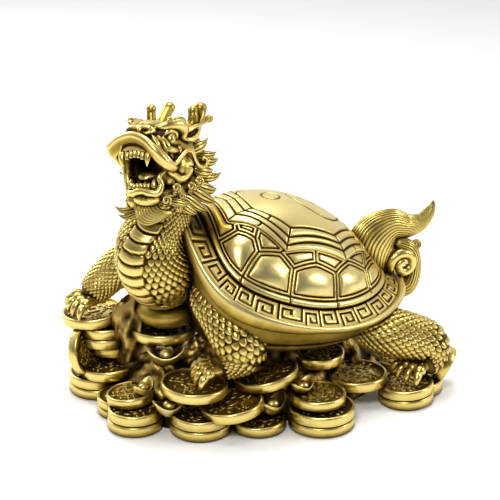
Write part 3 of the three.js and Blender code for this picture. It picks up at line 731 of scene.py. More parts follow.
# Legs: each reaches from under the shell to a paw on its own coin, in lapped scales down to the toes,
# with four knuckled toes and long bright claws.
COIN_THICK = 7
ACROSS = (0, 1, 0)
NEAR_FORE = dict(  # stations from the body, then ankle and paw above the coin that is level thicknesses up
    stations=[
        (-45, -14, 90, 14), (-46, -27, 82, 15.5), (-43, -39, 72, 15.5),
        (-39.5, -46, 61, 15.5), (-36, -47, 51, 14),
    ],
    ankle=(-44, -44, 12, 11), paw=(-55, -42, 9, 9), level=4.5,
)
FAR_FORE = dict(
    stations=[(-40, 26, 92, 12), (-62, 33, 94, 13), (-79, 40, 86, 12.5), (-91, 45, 76, 11)],
    ankle=(-99, 46, 15, 10), paw=(-106, 46, 8.5, 9), level=7.6,
)
HIND = dict(
    stations=[(44, 30, 50, 13), (64, 41, 45, 14.5), (82, 47, 39, 14.5), (93, 51, 33.5, 13.5)],
    ankle=(93, 53, 12, 11), paw=(82, 55, 8, 10), level=1.9,
)
TOES, TOE_GAP, TOE_FAN = 4, 4.6, 0.38
# reach ahead, height and radius
TOE = ((-11, 9, 4.2), (-4, 9.5, 3.9), (1, 9.6, 3.3), (4.5, 9.2, 3.9), (7.5, 7.4, 3.0))
CLAW = ((4.5, 8.4, 2.5), (8.6, 7.2, 2.6), (11, 3.6, 1.7), (11.2, -0.5, 0.4))
KNUCKLES = ((-3.5, 12.6), (0.5, 12.4))


def flip(stations):
    """The same places on the other side of the middle."""
    return [(a, -b, *rest) for a, b, *rest in stations]


def mirrored(leg):
    ankle, paw = flip([leg["ankle"], leg["paw"]])
    return dict(stations=flip(leg["stations"]), ankle=ankle, paw=paw, level=leg["level"])


def claw_foot(paw, ankle, floor):
    """Four toes with two knuckles each, and a smooth curved claw set in each toe."""
    ahead = np.array([paw[0] - ankle[0], paw[1] - ankle[1], 0.0])
    ahead /= np.linalg.norm(ahead)
    side = np.array([-ahead[1], ahead[0], 0])
    parts = []
    for place in np.arange(TOES) - (TOES - 1) / 2:
        turn = place * TOE_FAN
        way = ahead * math.cos(turn) + side * math.sin(turn)
        root = np.array([paw[0], paw[1], floor]) + side * place * TOE_GAP
        at = lambda reach, z, r: (*(root + way * reach + (0, 0, z)), r)
        parts.append(limb([at(*station) for station in TOE], sides=20, rings=18, over=side, worn=0.75))
        parts.append(limb([at(*station) for station in CLAW], sides=16, rings=16, over=side, worn=1.0))
        for reach, z in KNUCKLES:
            bump = [at(reach - 1.2, z - 0.6, 0.8), at(reach, z, 1.1), at(reach + 1.2, z - 0.8, 0.8)]
            parts.append(limb(bump, sides=10, rings=6, over=side, worn=0.9))
    return parts


LEGS = dict(near_foreleg=NEAR_FORE, far_foreleg=FAR_FORE, near_hind_leg=mirrored(HIND), far_hind_leg=HIND)
for name, leg in LEGS.items():
    floor_level = leg["level"] * COIN_THICK
    stations = leg["stations"] + [(x, y, z + floor_level, r) for x, y, z, r in (leg["ankle"], leg["paw"])]
    skins = [limb(stations, sides=48, rings=40, over=ACROSS, worn=0.2)]
    skins.append(scales(tube(stations, over=ACROSS), 19, 0.05, 0.88, rise=0.36))
    skins += claw_foot(leg["paw"], leg["ankle"], floor_level)
    cast(name, skins, cast_brass)

# Tail: a broad grooved plume swept back over the shell, a grooved lock curling below it, and a smooth
# scroll between the two. It stands on the heap behind the hind legs, and is part of the one casting.
PLUME = [
    (86, 0, 56, 10), (78, 0, 74, 16), (79, 0, 90, 19), (90, 0, 98, 13),
    (103, 0, 96.5, 8.5), (113, 0, 98, 6.5), (120, 0, 105, 4.4), (122.4, 0, 112, 2.2),
]
CURL = [(92, -1, 52, 6), (103, -2, 55, 6.5), (107, -3, 68, 5.5), (103, -4, 82, 5.5), (92, -3, 88, 5)]


def combed(strands, deep=0.7, twist=0.0):
    """Grooves that run along a lock."""

    def relief(t, angle):
        wave = np.abs(np.sin((angle + twist * t) * strands / 2))
        return -deep * (1 - wave) ** 2, 0.95 * wave**1.1 + 0 * t

    return relief


def spiral(centre, reach, turns, thick, steps=26, tilt=3):
    t = np.linspace(0, 1, steps)
    angle = -2.4 - t * turns * 2 * np.pi
    r = reach * (1 - 0.88 * t)
    x, z = centre[0] + r * np.cos(angle), centre[2] + r * np.sin(angle)
    return np.stack([x, centre[1] - t * tilt, z, thick * (1 - 0.45 * t)], -1)


skins = [
    limb(PLUME, sides=180, rings=70, flat=0.5, over=ACROSS, relief=combed(40, 0.8, 0.6)),
    limb(CURL, sides=90, rings=50, over=ACROSS, relief=combed(20, 0.6)),
    limb(spiral((97, -6, 73), 9.5, 1.6, 4.2), sides=28, rings=110, over=ACROSS, worn=0.9),
    limb(spiral((108, -4, 84), 3.4, 1.3, 1.8), sides=20, rings=60, over=ACROSS, relief=combed(8, 0.3)),
]
cast("tail", skins, cast_brass)

# Head: a dragon's, turned towards the near flank, raised and leant over, with its jaws wide open. It is
# shaped in its own frame: how far ahead, how far to the near side, and how far up.
HEAD_AT = np.array([-63.5, -4.6, 175])
HEAD_HEADING, HEAD_PITCH, HEAD_LEAN = math.radians(212), math.radians(25), math.radians(11)
HEAD_TURN = np.array(
    Matrix.Rotation(HEAD_HEADING - math.pi, 3, "Z")
    @ Matrix(((-1, 0, 0), (0, -1, 0), (0, 0, 1)))
    @ Matrix.Rotation(-HEAD_PITCH, 3, "Y")
    @ Matrix.Rotation(HEAD_LEAN, 3, "X")
)


def on_head(skins):
    return [(points @ HEAD_TURN.T + HEAD_AT, faces, worn) for points, faces, worn in skins]


def both(stations, **options):
    return [limb(stations, **options), limb(flip(stations), **options)]


def lump(centre, radii, sides=24, rings=16, worn=0.8):
    t = (np.linspace(0, 1, rings) * np.pi)[:, None]
    a = round_limb(sides)
    shape = np.stack([np.sin(t) * np.cos(a), np.sin(t) * np.sin(a), np.cos(t) + 0 * a], -1)
    return skin(np.array(centre) + shape * np.array(radii), worn)


def both_lumps(centre, radii, **options):
    return [lump(place, radii, **options) for place in (centre, *flip([centre]))]


def hollowness(points, edges, normals, rounds=14):
    """How deep each point lies below its smoothed neighbourhood, in millimetres."""
    count = np.bincount(edges.ravel(), minlength=len(points))[:, None]
    smooth = points.copy()
    for _ in range(rounds):
        total = np.zeros_like(smooth)
        for axis in range(3):
            total[:, axis] += np.bincount(edges[:, 0], smooth[edges[:, 1], axis], len(points))
            total[:, axis] += np.bincount(edges[:, 1], smooth[edges[:, 0], axis], len(points))
        smooth = 0.4 * smooth + 0.6 * total / np.maximum(count, 1)
    return ((smooth - points) * normals).sum(1)


VOXEL, SMOOTHINGS = 0.57, 2
HEAD_TONE, HOLLOW_DEPTH = 0.43, 0.3
MOUTH_SHADE_AT, MOUTH_SHADE_REACH = (24, -1.5, -18), (11, 13, 8.5)
HORN_ROOTS = 11


def fused(name, skins, metal):
    """Melts the head's overlapping forms into one skin, as wax is worked, wears its proud places and paints
    shade inside the mouth.
    """
    mesh = poured(name + "_wax", skins)
    rough = bpy.data.objects.new(name + "_wax", mesh)
    bpy.context.scene.collection.objects.link(rough)
    remesh = rough.modifiers.new("fuse", "REMESH")
    remesh.mode = "VOXEL"
    remesh.voxel_size = VOXEL * 0.001
    smooth = rough.modifiers.new("soften", "SMOOTH")
    smooth.iterations = SMOOTHINGS
    smooth.factor = 0.5
    mesh = bpy.data.meshes.new_from_object(rough.evaluated_get(bpy.context.evaluated_depsgraph_get()))
    bpy.data.objects.remove(rough)
    points, normals = np.empty((2, len(mesh.vertices) * 3))
    edges = np.empty(len(mesh.edges) * 2, dtype=np.int32)
    mesh.vertices.foreach_get("co", points)
    mesh.vertex_normals.foreach_get("vector", normals)
    mesh.edges.foreach_get("vertices", edges)
    points = points.reshape(-1, 3) * 1000
    hollow = hollowness(points, edges.reshape(-1, 2), normals.reshape(-1, 3))
    worn = np.clip(HEAD_TONE - hollow / HOLLOW_DEPTH, 0, 0.92)
    places = (points - HEAD_AT) @ HEAD_TURN
    # painted shade: inside the open mouth the colour is darkened almost to the patina's black
    in_mouth = (places - MOUTH_SHADE_AT) / MOUTH_SHADE_REACH
    worn *= np.clip((np.linalg.norm(in_mouth, axis=1) - 0.75) * 3, 0.05, 1)
    worn *= 1 - 0.45 * ease((places[:, 2] - HORN_ROOTS) / 5)  # the horns are less rubbed
    mesh.name = name
    finished(name, mesh, worn, metal)


AHEAD = (1, 0, 0)
LIP = [  # a flared roll along the edge of the upper lip
    (14, -17, -17, 1.6), (23, -21, -13.5, 2.2), (30.5, -24, -7.4, 2.5), (34, -19.2, -4.2, 2.4),
    (36.6, -12.5, -1.4, 2.3), (38.8, -3, -0.2, 2.3), (38.8, 5.5, -2.9, 2.3), (36.8, 12.3, -8.6, 2.4),
    (31.2, 16.6, -14.6, 2.4), (24, 17.6, -17, 2.1), (17, 16.5, -16.4, 1.4),
]
LIP_INNER = [(a - 6.5, b * 0.7, c - 0.2 + 0.12 * max(b - 8, 0), r * 1.8) for a, b, c, r in LIP]
HORNS = (  # two thick stems on each side with swollen ends, and a side prong
    ((3, 9, 5, 4.6), (-0.6, 11.6, 11, 4.2), (-1.0, 12.6, 15, 3.5), (0, 13, 18.4, 3.2), (0.6, 13, 22.4, 3.2)),
    ((0, 10, 8, 4.6), (-5, 12.4, 15, 4.3), (-6.8, 13, 20, 3.9), (-7.4, 13, 25.2, 3.8)),
    ((-5, 12.4, 14, 3.0), (-11, 13, 16.9, 2.2), (-14, 13.2, 18.4, 2.0), (-18, 13.6, 19.9, 2.2)),
    ((8, -9, 5, 4.4), (6.2, -12, 12, 3.2), (6.6, -13, 17, 2.9), (7.3, -13, 23, 2.9)),
    ((3, -10, 6, 4.6), (-4, -12.4, 15, 4.0), (-8.6, -13, 21.4, 3.7), (-12.4, -13, 26.8, 3.7)),
    ((-4, -12, 13, 3.2), (-11, -13, 15.6, 2.2), (-16.4, -13.6, 17.6, 2.2)),
)
KNOBS = (
    ((0.6, 13, 21.6), 3.2), ((-7.4, 13, 24.4), 4.2), ((-17.2, 13.6, 19.7), 2.7),
    ((7.3, -13, 21.8), 3.2), ((-12.0, -13, 26.4), 3.9), ((-15.6, -13.6, 17.4), 2.6),
)
CHEEK_FOLDS = (  # fanning back from the nose
    [(36.6, 9.4, 0, 0.9), (34.2, 11.2, -4.2, 2.0), (31.4, 12.4, -8.8, 1.5), (30, 13, -11.5, 0.6)],
    [(32.8, 10.8, 0.6, 0.9), (30.0, 12.6, -4.2, 2.1), (27.0, 13.6, -9.6, 1.6), (25.6, 14, -12.6, 0.6)],
    [(29.4, 12, 0.6, 0.9), (26.2, 13.8, -5, 2.1), (22.6, 14.6, -10.6, 1.6), (20.4, 15, -13.6, 0.6)],
)
LOWER_LIP = [
    (21, -14, -16.5, 1.7), (26.6, -12.4, -20.5, 1.6), (27.6, -11.4, -26, 1.7), (26.6, -10.8, -31.5, 2.0),
    (28.4, -6.4, -33.6, 2.3), (29.6, -2.2, -32.6, 2.3), (29.8, 2, -32.4, 2.2), (29.6, 6.4, -33.4, 2.3),
    (27.8, 10.8, -33.2, 2.3), (26.8, 12.2, -28.4, 1.9), (28.4, 11.6, -23.6, 1.7), (24.4, 14.4, -18, 1.6),
]


def lip_hollow(back):
    """A roll behind the upper lip, further back and down in its middle, so that the lip meets the gum."""
    tuck = [(back * (1 - 0.1 * max(5 - k, 0) - 0.19 * max(k - 5, 0)), place) for k, place in enumerate(LIP)]
    return [(a - 4.2 * d, b * (1 - 0.16 * d), c - 4.2 * d, r * (1 + 0.15 * d)) for d, (a, b, c, r) in tuck]


def nostril(b):
    """The flared ring round a nostril, open at its lower edge."""
    return [
        (38.6 - 0.35 * abs(b + 3.6 * math.cos(k)), b + 3.7 * math.cos(k), 2.9 + 1.9 * math.sin(k), 1.5)
        for k in np.linspace(0.4, 6.1, 14)
    ]


skins = [
    # the skull, the snout and the walls of the open mouth
    limb([
        (-16, 0, -6, 12), (-2, 0, -3, 15.5), (12, 0, -2, 15), (24, 0, -2.5, 13.5), (34, 0, -4.5, 11),
    ], flat=0.6, sides=40, rings=30),
    limb([
        (36, 0, 2.5, 4), (31, 0, 5.5, 5.6), (23, 0, 7, 6.2), (13, 0, 7.4, 6.6), (3, 0, 6, 7),
    ], flat=0.75, sides=32),
    lump((4, 0, -17), (10, 15.5, 14)),
    limb([(19, 12, -10, 3.6), (19, 12.2, -18, 3.8), (17, 11, -27, 4.4)]),
    limb([(28, -15.4, -9, 3.6), (26, -14.2, -16, 3.6), (24.5, -12.8, -24, 3.6), (24, -11.4, -31, 3.8)]),
    limb([(20, -14, -9, 5.4), (19, -13.4, -18, 5.6), (17, -12, -28, 6.0)]),
    # the upper lip, over a hollow that meets the gum
    limb(LIP, sides=28, rings=120, over=AHEAD),
    *[limb(lip_hollow(back), sides=28, rings=110, over=AHEAD) for back in (0.2, 0.4, 0.6, 0.8, 1.0)],
    lump((22, 0, -7.0), (13, 18, 5.0)),
    limb(LIP_INNER, sides=28, rings=110, over=AHEAD),
    limb([
        (31, -15, -12.5, 1.3), (34.3, -10, -8.7, 1.8), (35.4, -3.3, -7.6, 1.9), (35.2, 4.5, -9.0, 1.9),
        (32.5, 10.6, -12.6, 1.4),
    ], rings=50, over=AHEAD),
    # nose: a broad bulb, with a flared ring round each nostril
    lump((33.5, 0, 3.0), (5.5, 9.6, 4.2)),
    *[limb(nostril(b), rings=44, sides=14, over=AHEAD) for b in (5, -5)],
    *[part for fold in CHEEK_FOLDS for part in both(fold, rings=24)],
    *both([(15.6, 13.6, -2.6, 1.4), (15, 15, -6, 2.2), (17, 15, -10.5, 1.5)]),
    # eye socket, brow, cheek pad and lower cheek line
    *both([(27, 11, 1.2, 1.0), (24.6, 13.2, 4.3, 1.4), (19.4, 14, 4.6, 1.5), (15.8, 13.4, 1.2, 1.3)]),
    *both([(26, 12, -2.6, 0.8), (22, 13.6, -5, 1.1), (17, 13.6, -3.8, 1.0)]),
    *both([
        (31, 7, 6, 1.6), (28, 10.4, 6.4, 2.2), (23, 13, 8.4, 3.4),
        (16.6, 14.2, 9.6, 4.6), (11.6, 14, 6.4, 3.8), (10.4, 13.8, 1, 2.4),
    ]),
    *both_lumps((15, 13.8, -13), (7.5, 3.8, 8.5)),
    *both_lumps((11.6, 15.6, -14.4), (6.6, 3.8, 7.6)),
    *both_lumps((9.6, 16.2, -15.2), (5.6, 4.0, 7.0)),
    *both([
        (10, 14.2, -6.5, 3.0), (8.0, 15.4, -12.6, 5.2), (9.0, 15.2, -18.4, 4.8),
        (13.2, 15.2, -22.0, 3.2), (20, 15.2, -20.8, 2.0), (26.6, 13.8, -19, 1.2),
    ], rings=36),
    # ear: two edges round a hollow
    *both([(13.4, 13.6, 4, 1.2), (7.4, 16.2, 8.3, 1.4), (1.4, 17.4, 12, 1.2), (-2.6, 18, 13.6, 0.5)]),
    *both([(12.6, 13.6, 2.4, 1.2), (5.8, 16.4, 2.6, 1.5), (0.2, 17.4, 6.2, 1.4), (-2.4, 18, 12.4, 0.5)]),
    *both([(11, 13.4, 3.4, 2.0), (5, 15.4, 5.6, 3.0), (-0.6, 16.6, 10.2, 1.6)], flat=0.3, over=(0.2, 1, 0.2)),
    *[limb(stations, over=ACROSS, rings=28) for stations in HORNS],
    *[lump(centre, (radius, radius, radius * 0.92)) for centre, radius in KNOBS],
    # lower jaw, its lip with the corners of the mouth, and the chin
    limb([(-6, 0, -20, 10), (6, 0, -28, 11.5), (17, 1, -34.5, 10), (25.5, 2, -36, 7.6)], flat=0.52, sides=36),
    limb(LOWER_LIP, sides=24, rings=120, over=(0.4, 0.2, 1)),
    *[lump((26.2, b, -36.4), (3.3, 4.8, 3.4)) for b in (-2.2, 6.3)],
    lump((25.4, 2, -36.8), (3.8, 9.4, 3.9)),
    lump((20.5, -11, -36.4), (5, 4.4, 5)),
    *both([
        (24, 10, -34, 2.6), (14, 11, -31.5, 4.2), (3, 11, -27.5, 5.2), (-8, 10, -21, 6.4), (-14, 9, -12, 7),
    ]),
]
fused("head", on_head(skins), cast_brass)

# Mouth, eyes, whiskers, beard and mane: cut in after the head was shaped. The locks are pointed leaves
# with combed grooves, and end in small scrolls by the jaw.
skins = []
for b in (-7.2, -4.5, -1.7, 1.1, 3.9):
    drop = 0.045 * (b + 1.7) ** 2
    tooth = [(35.9, b, -8.6 - drop, 1.5), (36.3, b, -10.8 - drop, 1.5), (36.0, b, -13.4 - drop, 1.35)]
    skins.append(limb(tooth, sides=16, rings=12, over=ACROSS, worn=1.0, blunt=16))
for b in (-5.6, -3.0, -0.4, 2.2, 4.8):
    tooth = [(28.6, b, -31.4, 1.4), (29.0, b, -29.4, 1.45), (28.8, b, -27.4, 1.1)]
    skins.append(limb(tooth, sides=16, rings=10, over=ACROSS, worn=0.95))
for b, tip in ((-11.4, -9.6), (7.4, 7.0)):
    fang = [(34.6, b, -9.4, 2.0), (35.8, b * 0.98, -13.4, 1.9), (35.4, tip, -18.8, 0.35)]
    skins.append(limb(fang, sides=20, rings=18, over=ACROSS, worn=1.0))
for b in (-8.6, 8.2):
    fang = [(27.4, b, -31, 2.1), (28.2, b, -28, 1.8), (28.4, b, -24.6, 0.5)]
    skins.append(limb(fang, sides=18, rings=14, over=ACROSS, worn=0.95))

TONGUE = [(8, -1, -24, 6), (16, -1.2, -22.4, 6.8), (23.4, -1.2, -22, 5.8), (27.6, -0.8, -25.2, 3.2)]
WHISKER = [
    (37.2, 9.5, 0.4, 0.9), (34, 13.6, -7.4, 1.2), (29.4, 16.8, -12.6, 1.3), (23.6, 18.2, -15.4, 1.35),
    (17.6, 18.6, -10.0, 1.3), (12.4, 18.8, -5.5, 1.3), (6.4, 18.8, -5.8, 1.25), (1.9, 18.8, -9.9, 1.2),
    (-3.5, 18.6, -12.5, 1.2), (-9.8, 18.4, -11.0, 1.15), (-11.4, 18.2, -7.6, 1.1), (-8.0, 18.2, -6.0, 1.0),
    (-6.0, 18.4, -8.2, 0.9),
]


def tongue_groove(t, angle):
    crease = line((angle - np.pi / 2) * 5, 1.6)
    return -1.0 * crease, 1.0 - 0.6 * crease + 0 * t


skins.append(limb(TONGUE, flat=0.4, sides=40, rings=30, relief=tongue_groove))
skins += both_lumps((21.8, 12.8, 0.2), (3.2, 3.0, 4.0), worn=0.95)  # eyes
skins += both_lumps((38.0, 4.9, 2.8), (0.9, 2.4, 0.9), worn=0.0)  # the dark of each nostril
skins += both(WHISKER, sides=16, rings=110, over=ACROSS, worn=1.0)


def leaf(root, tip, breadth, bow=2.0, strands=9, over=ACROSS, curl=1.5, sides=54, rings=15):
    """A lock of hair: a flat pointed leaf with combed grooves, its tip turned a little up."""
    root, tip = np.array(root, float), np.array(tip, float)
    out = np.array([0, np.sign(root[1] + tip[1] + 1e-6), 0])
    stations = [
        (*(root + (tip - root) * t + out * bow * b - np.array([0, 0, curl]) * c), r * breadth)
        for t, r, b, c in (
            (0, 0.7, 0, 0), (0.22, 1.0, 0.7, 0.5), (0.45, 1.0, 1.0, 0.9),
            (0.68, 0.72, 0.8, 1), (0.86, 0.34, 0.3, 0.6), (1, 0.02, -0.3, 0),
        )
    ]
    grooves = combed(strands, 0.75)
    return limb(stations, sides=sides, rings=rings, flat=0.5, over=over, blunt=14, relief=grooves)


def scroll(centre, reach, side=1):
    """A small scroll at the end of a lock, facing out and forwards from the head."""
    x, y, z, r = spiral((0, 0, 0), reach, 1.35, reach * 0.36, steps=34, tilt=-0.45 * reach).T
    a, b = 0.79 * x + 0.61 * y, side * (0.79 * y - 0.61 * x)
    path = np.stack([centre[0] + a, centre[1] + b, centre[2] + z, r], -1)
    return limb(path, sides=16, rings=70, over=ACROSS, blunt=20, worn=0.95)


LOCKS = [  # root, tip and breadth of the near side's outer locks
    ((1, 11, -4), (-13, 17, 7.4), 3.4), ((-6, 11, -5), (-23.4, 17.5, 0.6), 2.8),
    ((-8, 11, -8), (-27, 17, -3), 3.0), ((-3, 14, -14), (-20, 18, -11), 3.6),
    ((-12, 11, -18), (-33, 16, -10.6), 2.7), ((-8, 11, -23), (-29.4, 16, -21.6), 3.6),
    ((0, 12, -25), (-28.6, 17, -30.2), 3.6), ((8, 12, -30), (-19.4, 17, -37.2), 3.6),
    ((9, 12, -35.5), (-7.4, 17, -40), 2.9), ((19, 12, -36.4), (2.2, 17.5, -34.4), 2.4),
]
LOCKS_WIDER = 1.12
UNDER_LOCKS = [
    ((-2, 9, 2), (-17, 10, 6), 4.2), ((-6, 9, -6), (-27, 9, -5), 4.6),
    ((-10, 8, -12), (-32, 6, -15), 5.0), ((-10, 8, -20), (-30, 7, -25), 5.0),
    ((-7, 9, -26), (-23, 9, -34), 4.8), ((-2, 10, -28), (-13, 11, -40), 4.8),
    ((6, 12, -30), (0, 14, -42), 4.4), ((12, 13, -32), (10, 16, -43), 3.6),
]
SIDE_SCROLLS = [
    ((18.4, 17.2, -28.8), 2.7), ((4.6, 18.6, -25.9), 2.7), ((-2.8, 18.8, -21.6), 2.9),
    ((22.8, 13.8, -37.2), 2.9), ((11.4, 17.2, -33), 2.1),
]
for side in (1, -1):
    turn_over = lambda a, b, c: (a, b * side, c)
    for root, tip, breadth in LOCKS:
        skins.append(leaf(turn_over(*root), turn_over(*tip), breadth * LOCKS_WIDER))
    for root, tip, breadth in UNDER_LOCKS:
        skins.append(leaf(turn_over(*root), turn_over(*tip), breadth, bow=1.0, strands=8, sides=42, rings=13))
    for (a, b, c), reach in SIDE_SCROLLS:
        skins.append(scroll(turn_over(a, b, c), reach, side))
        front, back = turn_over(a + reach * 0.6, b - 0.8, c - reach), turn_over(a - 8, b - 4, c + 1.5)
        skins.append(leaf(front, back, 1.9, bow=0.8, strands=6, sides=48, rings=12))
    # tufts combed up over each brow, with a scroll at the front
    skins.append(leaf((26, 12.6 * side, 8.4), (9, 15.6 * side, 10.5), 2.9, strands=8, curl=-2.4))
    skins.append(leaf((19, 14.4 * side, 10.6), (9.4, 15.2 * side, 3.4), 2.4, strands=7, curl=-1.6))
    skins.append(scroll((26.4, 14.2 * side, 10.4), 2.5 if side < 0 else 2.0))
for c, tip_c in ((6, 10), (-2, 0), (-9, -12), (-17, -20), (-24, -30)):
    skins.append(leaf((-10, 0, c), (-30, 0, tip_c), 5.0, bow=0, strands=10))
for b in (-4.5, 4.5):
    skins.append(leaf((-4, b, 8), (-19, b * 1.3, 9), 4.0, bow=0, strands=9))
# the far side's longer locks, which show beside the jaw
skins.append(leaf((15, -13, -20), (18, -27, -17.8), 2.3, over=(0, 0, 1), bow=0))
skins.append(leaf((14, -11, -39), (18, -26.6, -39.6), 3.0, over=(1, 0, 0.4), bow=0, curl=2.5))
skins.append(leaf((14, -10, -42), (18, -23.2, -45.0), 2.8, over=(1, 0, 0.4), bow=0, curl=2.0))
skins += [scroll((19, -18.6, -26.3), 2.2), scroll((19, -16.6, -33.4), 2.2)]
# the beard: strands that fall from the chin and sweep to the near side
LONG_STRAND = np.array([
    (22, -8.4, -37, 1.3), (21.4, -8, -42, 1.3), (20.8, -5.4, -48.4, 1.3), (20.6, 0.5, -50.8, 1.25),
    (20.4, 7, -49.2, 1.1), (20, 12.6, -46.8, 0.9), (19.4, 17, -44.6, 0.3),
])
SHORT_STRAND = np.array([
    (22, 5.4, -37, 1.3), (21.8, 5.8, -38.6, 1.3), (21.6, 6.6, -40.4, 1.3), (21.4, 8.2, -42, 1.2),
    (21.2, 10.6, -43, 1.1), (20.6, 13.4, -43.4, 0.9), (19.8, 16.6, -43.2, 0.3),
])


def bright_ridge(t, angle):
    return 0 * t + 0 * angle, 0.9 * np.sin(angle) ** 2 + 0 * t


for k in np.linspace(0, 1, 8):
    strand = LONG_STRAND * (1 - k) + SHORT_STRAND * k
    strand[:, 0] += 0.9 * math.sin(3.1 * k)
    skins.append(limb(strand, sides=16, rings=34, over=AHEAD, relief=bright_ridge))
BEARD_DARK = [(20, -7, -36, 3), (20, -5, -42, 3.4), (20, 0, -46, 3.4), (20, 6, -45, 2.6)]
skins.append(limb(BEARD_DARK, flat=0.5, over=AHEAD, worn=0.1))
cast("mane", on_head(skins), cast_brass)

# Heap: rough rock with coins and boat-shaped ingots cast on it. A coin has a rounded raised rim, a dark
# sunken face, a square middle and rows of short raised strokes that aren't letters.
COINS = [  # x, y, how many coin thicknesses its top is up, radius, and how it lies
    (-101, 40, 2, 20, dict(thick=2)),
    (-95, 34, 3.1, 21, dict(lean=5)),
    (-88, 45, 4.6, 19.5, {}),
    (-95, 43.5, 6.6, 18.5, dict(thick=2)),
    (-101, 49, 7.6, 20.5, dict(lean=4)),
    (-106, 37, 4.3, 18, dict(lean=78, towards=-54)),
    (-99, -22, 1, 17.5, {}),
    (-99, -22, 2, 17, {}),
    (-98, 2, 1.7, 17, dict(thick=1.7)),
    (-99, -13, 3, 15, dict(lean=6)),
    (-65, 17, 7, 21.5, {}),
    (-65, -38, 4.5, 21, dict(lean=3, towards=-24)),
    (-17, -38, 4.3, 21, dict(lean=12)),
    (-46, -52, 2.9, 20, dict(lean=8)),
    (-63, -43, 1.95, 19.5, dict(thick=1.95)),
    (-29, -55, 1.05, 17, {}),
    (9, -67, 2, 21, dict(thick=2)),
    (8, -64, 3.1, 17.5, {}),
    (24, -29, 4.7, 17.5, {}),
    (46, -43, 2.8, 19.5, {}),
    (74, -57, 1.9, 18, dict(thick=1.9, lean=3)),
    (88, -46, 1.3, 17, dict(thick=1.3)),
    (103, -48, 2.6, 13, dict(lean=60, towards=150)),
    (98, -8, 1, 19, {}),
    (96, 20, 1.9, 19, dict(thick=1.9, lean=5)),
    (74, 57, 1.9, 18, dict(thick=1.9)),
    (44, 54, 2.2, 20, dict(thick=1.6, lean=4)),
    (14, 68, 1.9, 19, dict(thick=1.9)),
    (-18, 63, 2, 20, dict(thick=2, lean=4, towards=90)),
    (-2, 46, 3.6, 19, {}),
    (58, 34, 3.3, 18, dict(lean=6, towards=60)),
    (-52, 64, 2, 20, dict(thick=2)),
    (-44, 50, 3.8, 19, dict(lean=5, towards=60)),
]

COIN_SIDES = 60
FACE_DEPTH = -1.2
STROKE_WORN = np.array([0.1, 0.75, 0.95, 0.95])[:, None]


def stroke(x, y, heading, long, wide=0.9, tall=0.75):
    """A short raised stroke with sloping sides, on a coin's sunken face."""
    c, s = math.cos(heading), math.sin(heading)
    rings = []
    for grow, z in ((0.35, -1.3), (0.12, FACE_DEPTH + tall * 0.75), (-0.12, FACE_DEPTH + tall)):
        a, b = long / 2 + grow, wide / 2 + grow
        corners = ((-a, -b), (a, -b), (a, b), (-a, b))
        rings.append([(x + c * u - s * v, y + s * u + c * v, z) for u, v in corners])
    rings.append([(x, y, FACE_DEPTH + tall)] * 4)
    return skin(np.array(rings), STROKE_WORN)


def laid(skins, turn, place):
    """Skins made round the origin, turned and put in their place."""
    return [(points @ np.array(turn).T + place, faces, worn) for points, faces, worn in skins]


def coin(x, y, level, radius, lean=0, towards=156, thick=1, seed=0):
    chance = np.random.default_rng(seed)
    discs = max(1, round(thick))
    deep = COIN_THICK * thick / discs
    a = round_limb(COIN_SIDES)
    profile = np.array([  # out, up and how worn, from the middle of the face over the rim and under
        (0.01, FACE_DEPTH, 0.8), (radius * 0.5, FACE_DEPTH, 0.8), (radius - 2.5, FACE_DEPTH, 0.3),
        (radius - 2.1, -0.5, 0.5), (radius - 1.7, -0.1, 0.9), (radius - 0.9, 0, 1), (radius - 0.3, -0.4, 1),
        (radius, -1.1, 0.95), (radius, -deep / 2, 0.85), (radius, 1.2 - deep, 0.8),
        (radius - 0.5, 0.5 - deep, 0.7), (radius - 1.6, 0.2 - deep, 0.6), (0.01, 0.2 - deep, 0.6),
    ])
    r, z, bright = profile.T[:, :, None]
    skins = []
    for k in range(discs):
        skins.append(skin(np.stack([r * np.cos(a), r * np.sin(a), z + -deep * k + 0 * a], -1), bright))
    face = radius - 2.6
    middle = 0.62 * face
    for turn in np.arange(4) * math.pi / 2:
        c, s = math.cos(turn), math.sin(turn)
        skins.append(stroke(3.0 * c, 3.0 * s, turn + math.pi / 2, 6.8, 0.9))
        for row in range(3):
            for column in range(2):
                u = (row - 1) * 3.1 + chance.uniform(-0.4, 0.4)
                v = (column - 0.5) * 4.2 + chance.uniform(-0.5, 0.5)
                heading = turn + math.pi / 2 * chance.integers(0, 2) + chance.uniform(-0.35, 0.35)
                long, wide = chance.uniform(2.2, 4.2), chance.uniform(0.6, 0.9)
                skins.append(stroke((middle + u) * c - v * s, (middle + u) * s + v * c, heading, long, wide))
        diagonal = turn + math.pi / 4
        c, s = math.cos(diagonal), math.sin(diagonal)
        for u in (0.42, 0.74):
            heading = diagonal + chance.uniform(-0.6, 0.6) + 1.5
            skins.append(stroke(u * face * c, u * face * s, heading, 3.4, 0.8))
    spin = chance.uniform(0, 2 * math.pi)
    way = math.radians(towards)
    leant = Matrix.Rotation(math.radians(lean), 3, Vector((-math.sin(way), math.cos(way), 0)))
    return laid(skins, leant @ Matrix.Rotation(spin, 3, "Z"), (x, y, level * COIN_THICK))


skins = []
for k, (x, y, level, radius, lie) in enumerate(COINS):
    skins += coin(x, y, level, radius, seed=k, **lie)
FLOOR_CUT = (-1e3, -1e3, 0.0)
cast("coins", [(np.maximum(points, FLOOR_CUT), faces, worn) for points, faces, worn in skins], cast_brass)

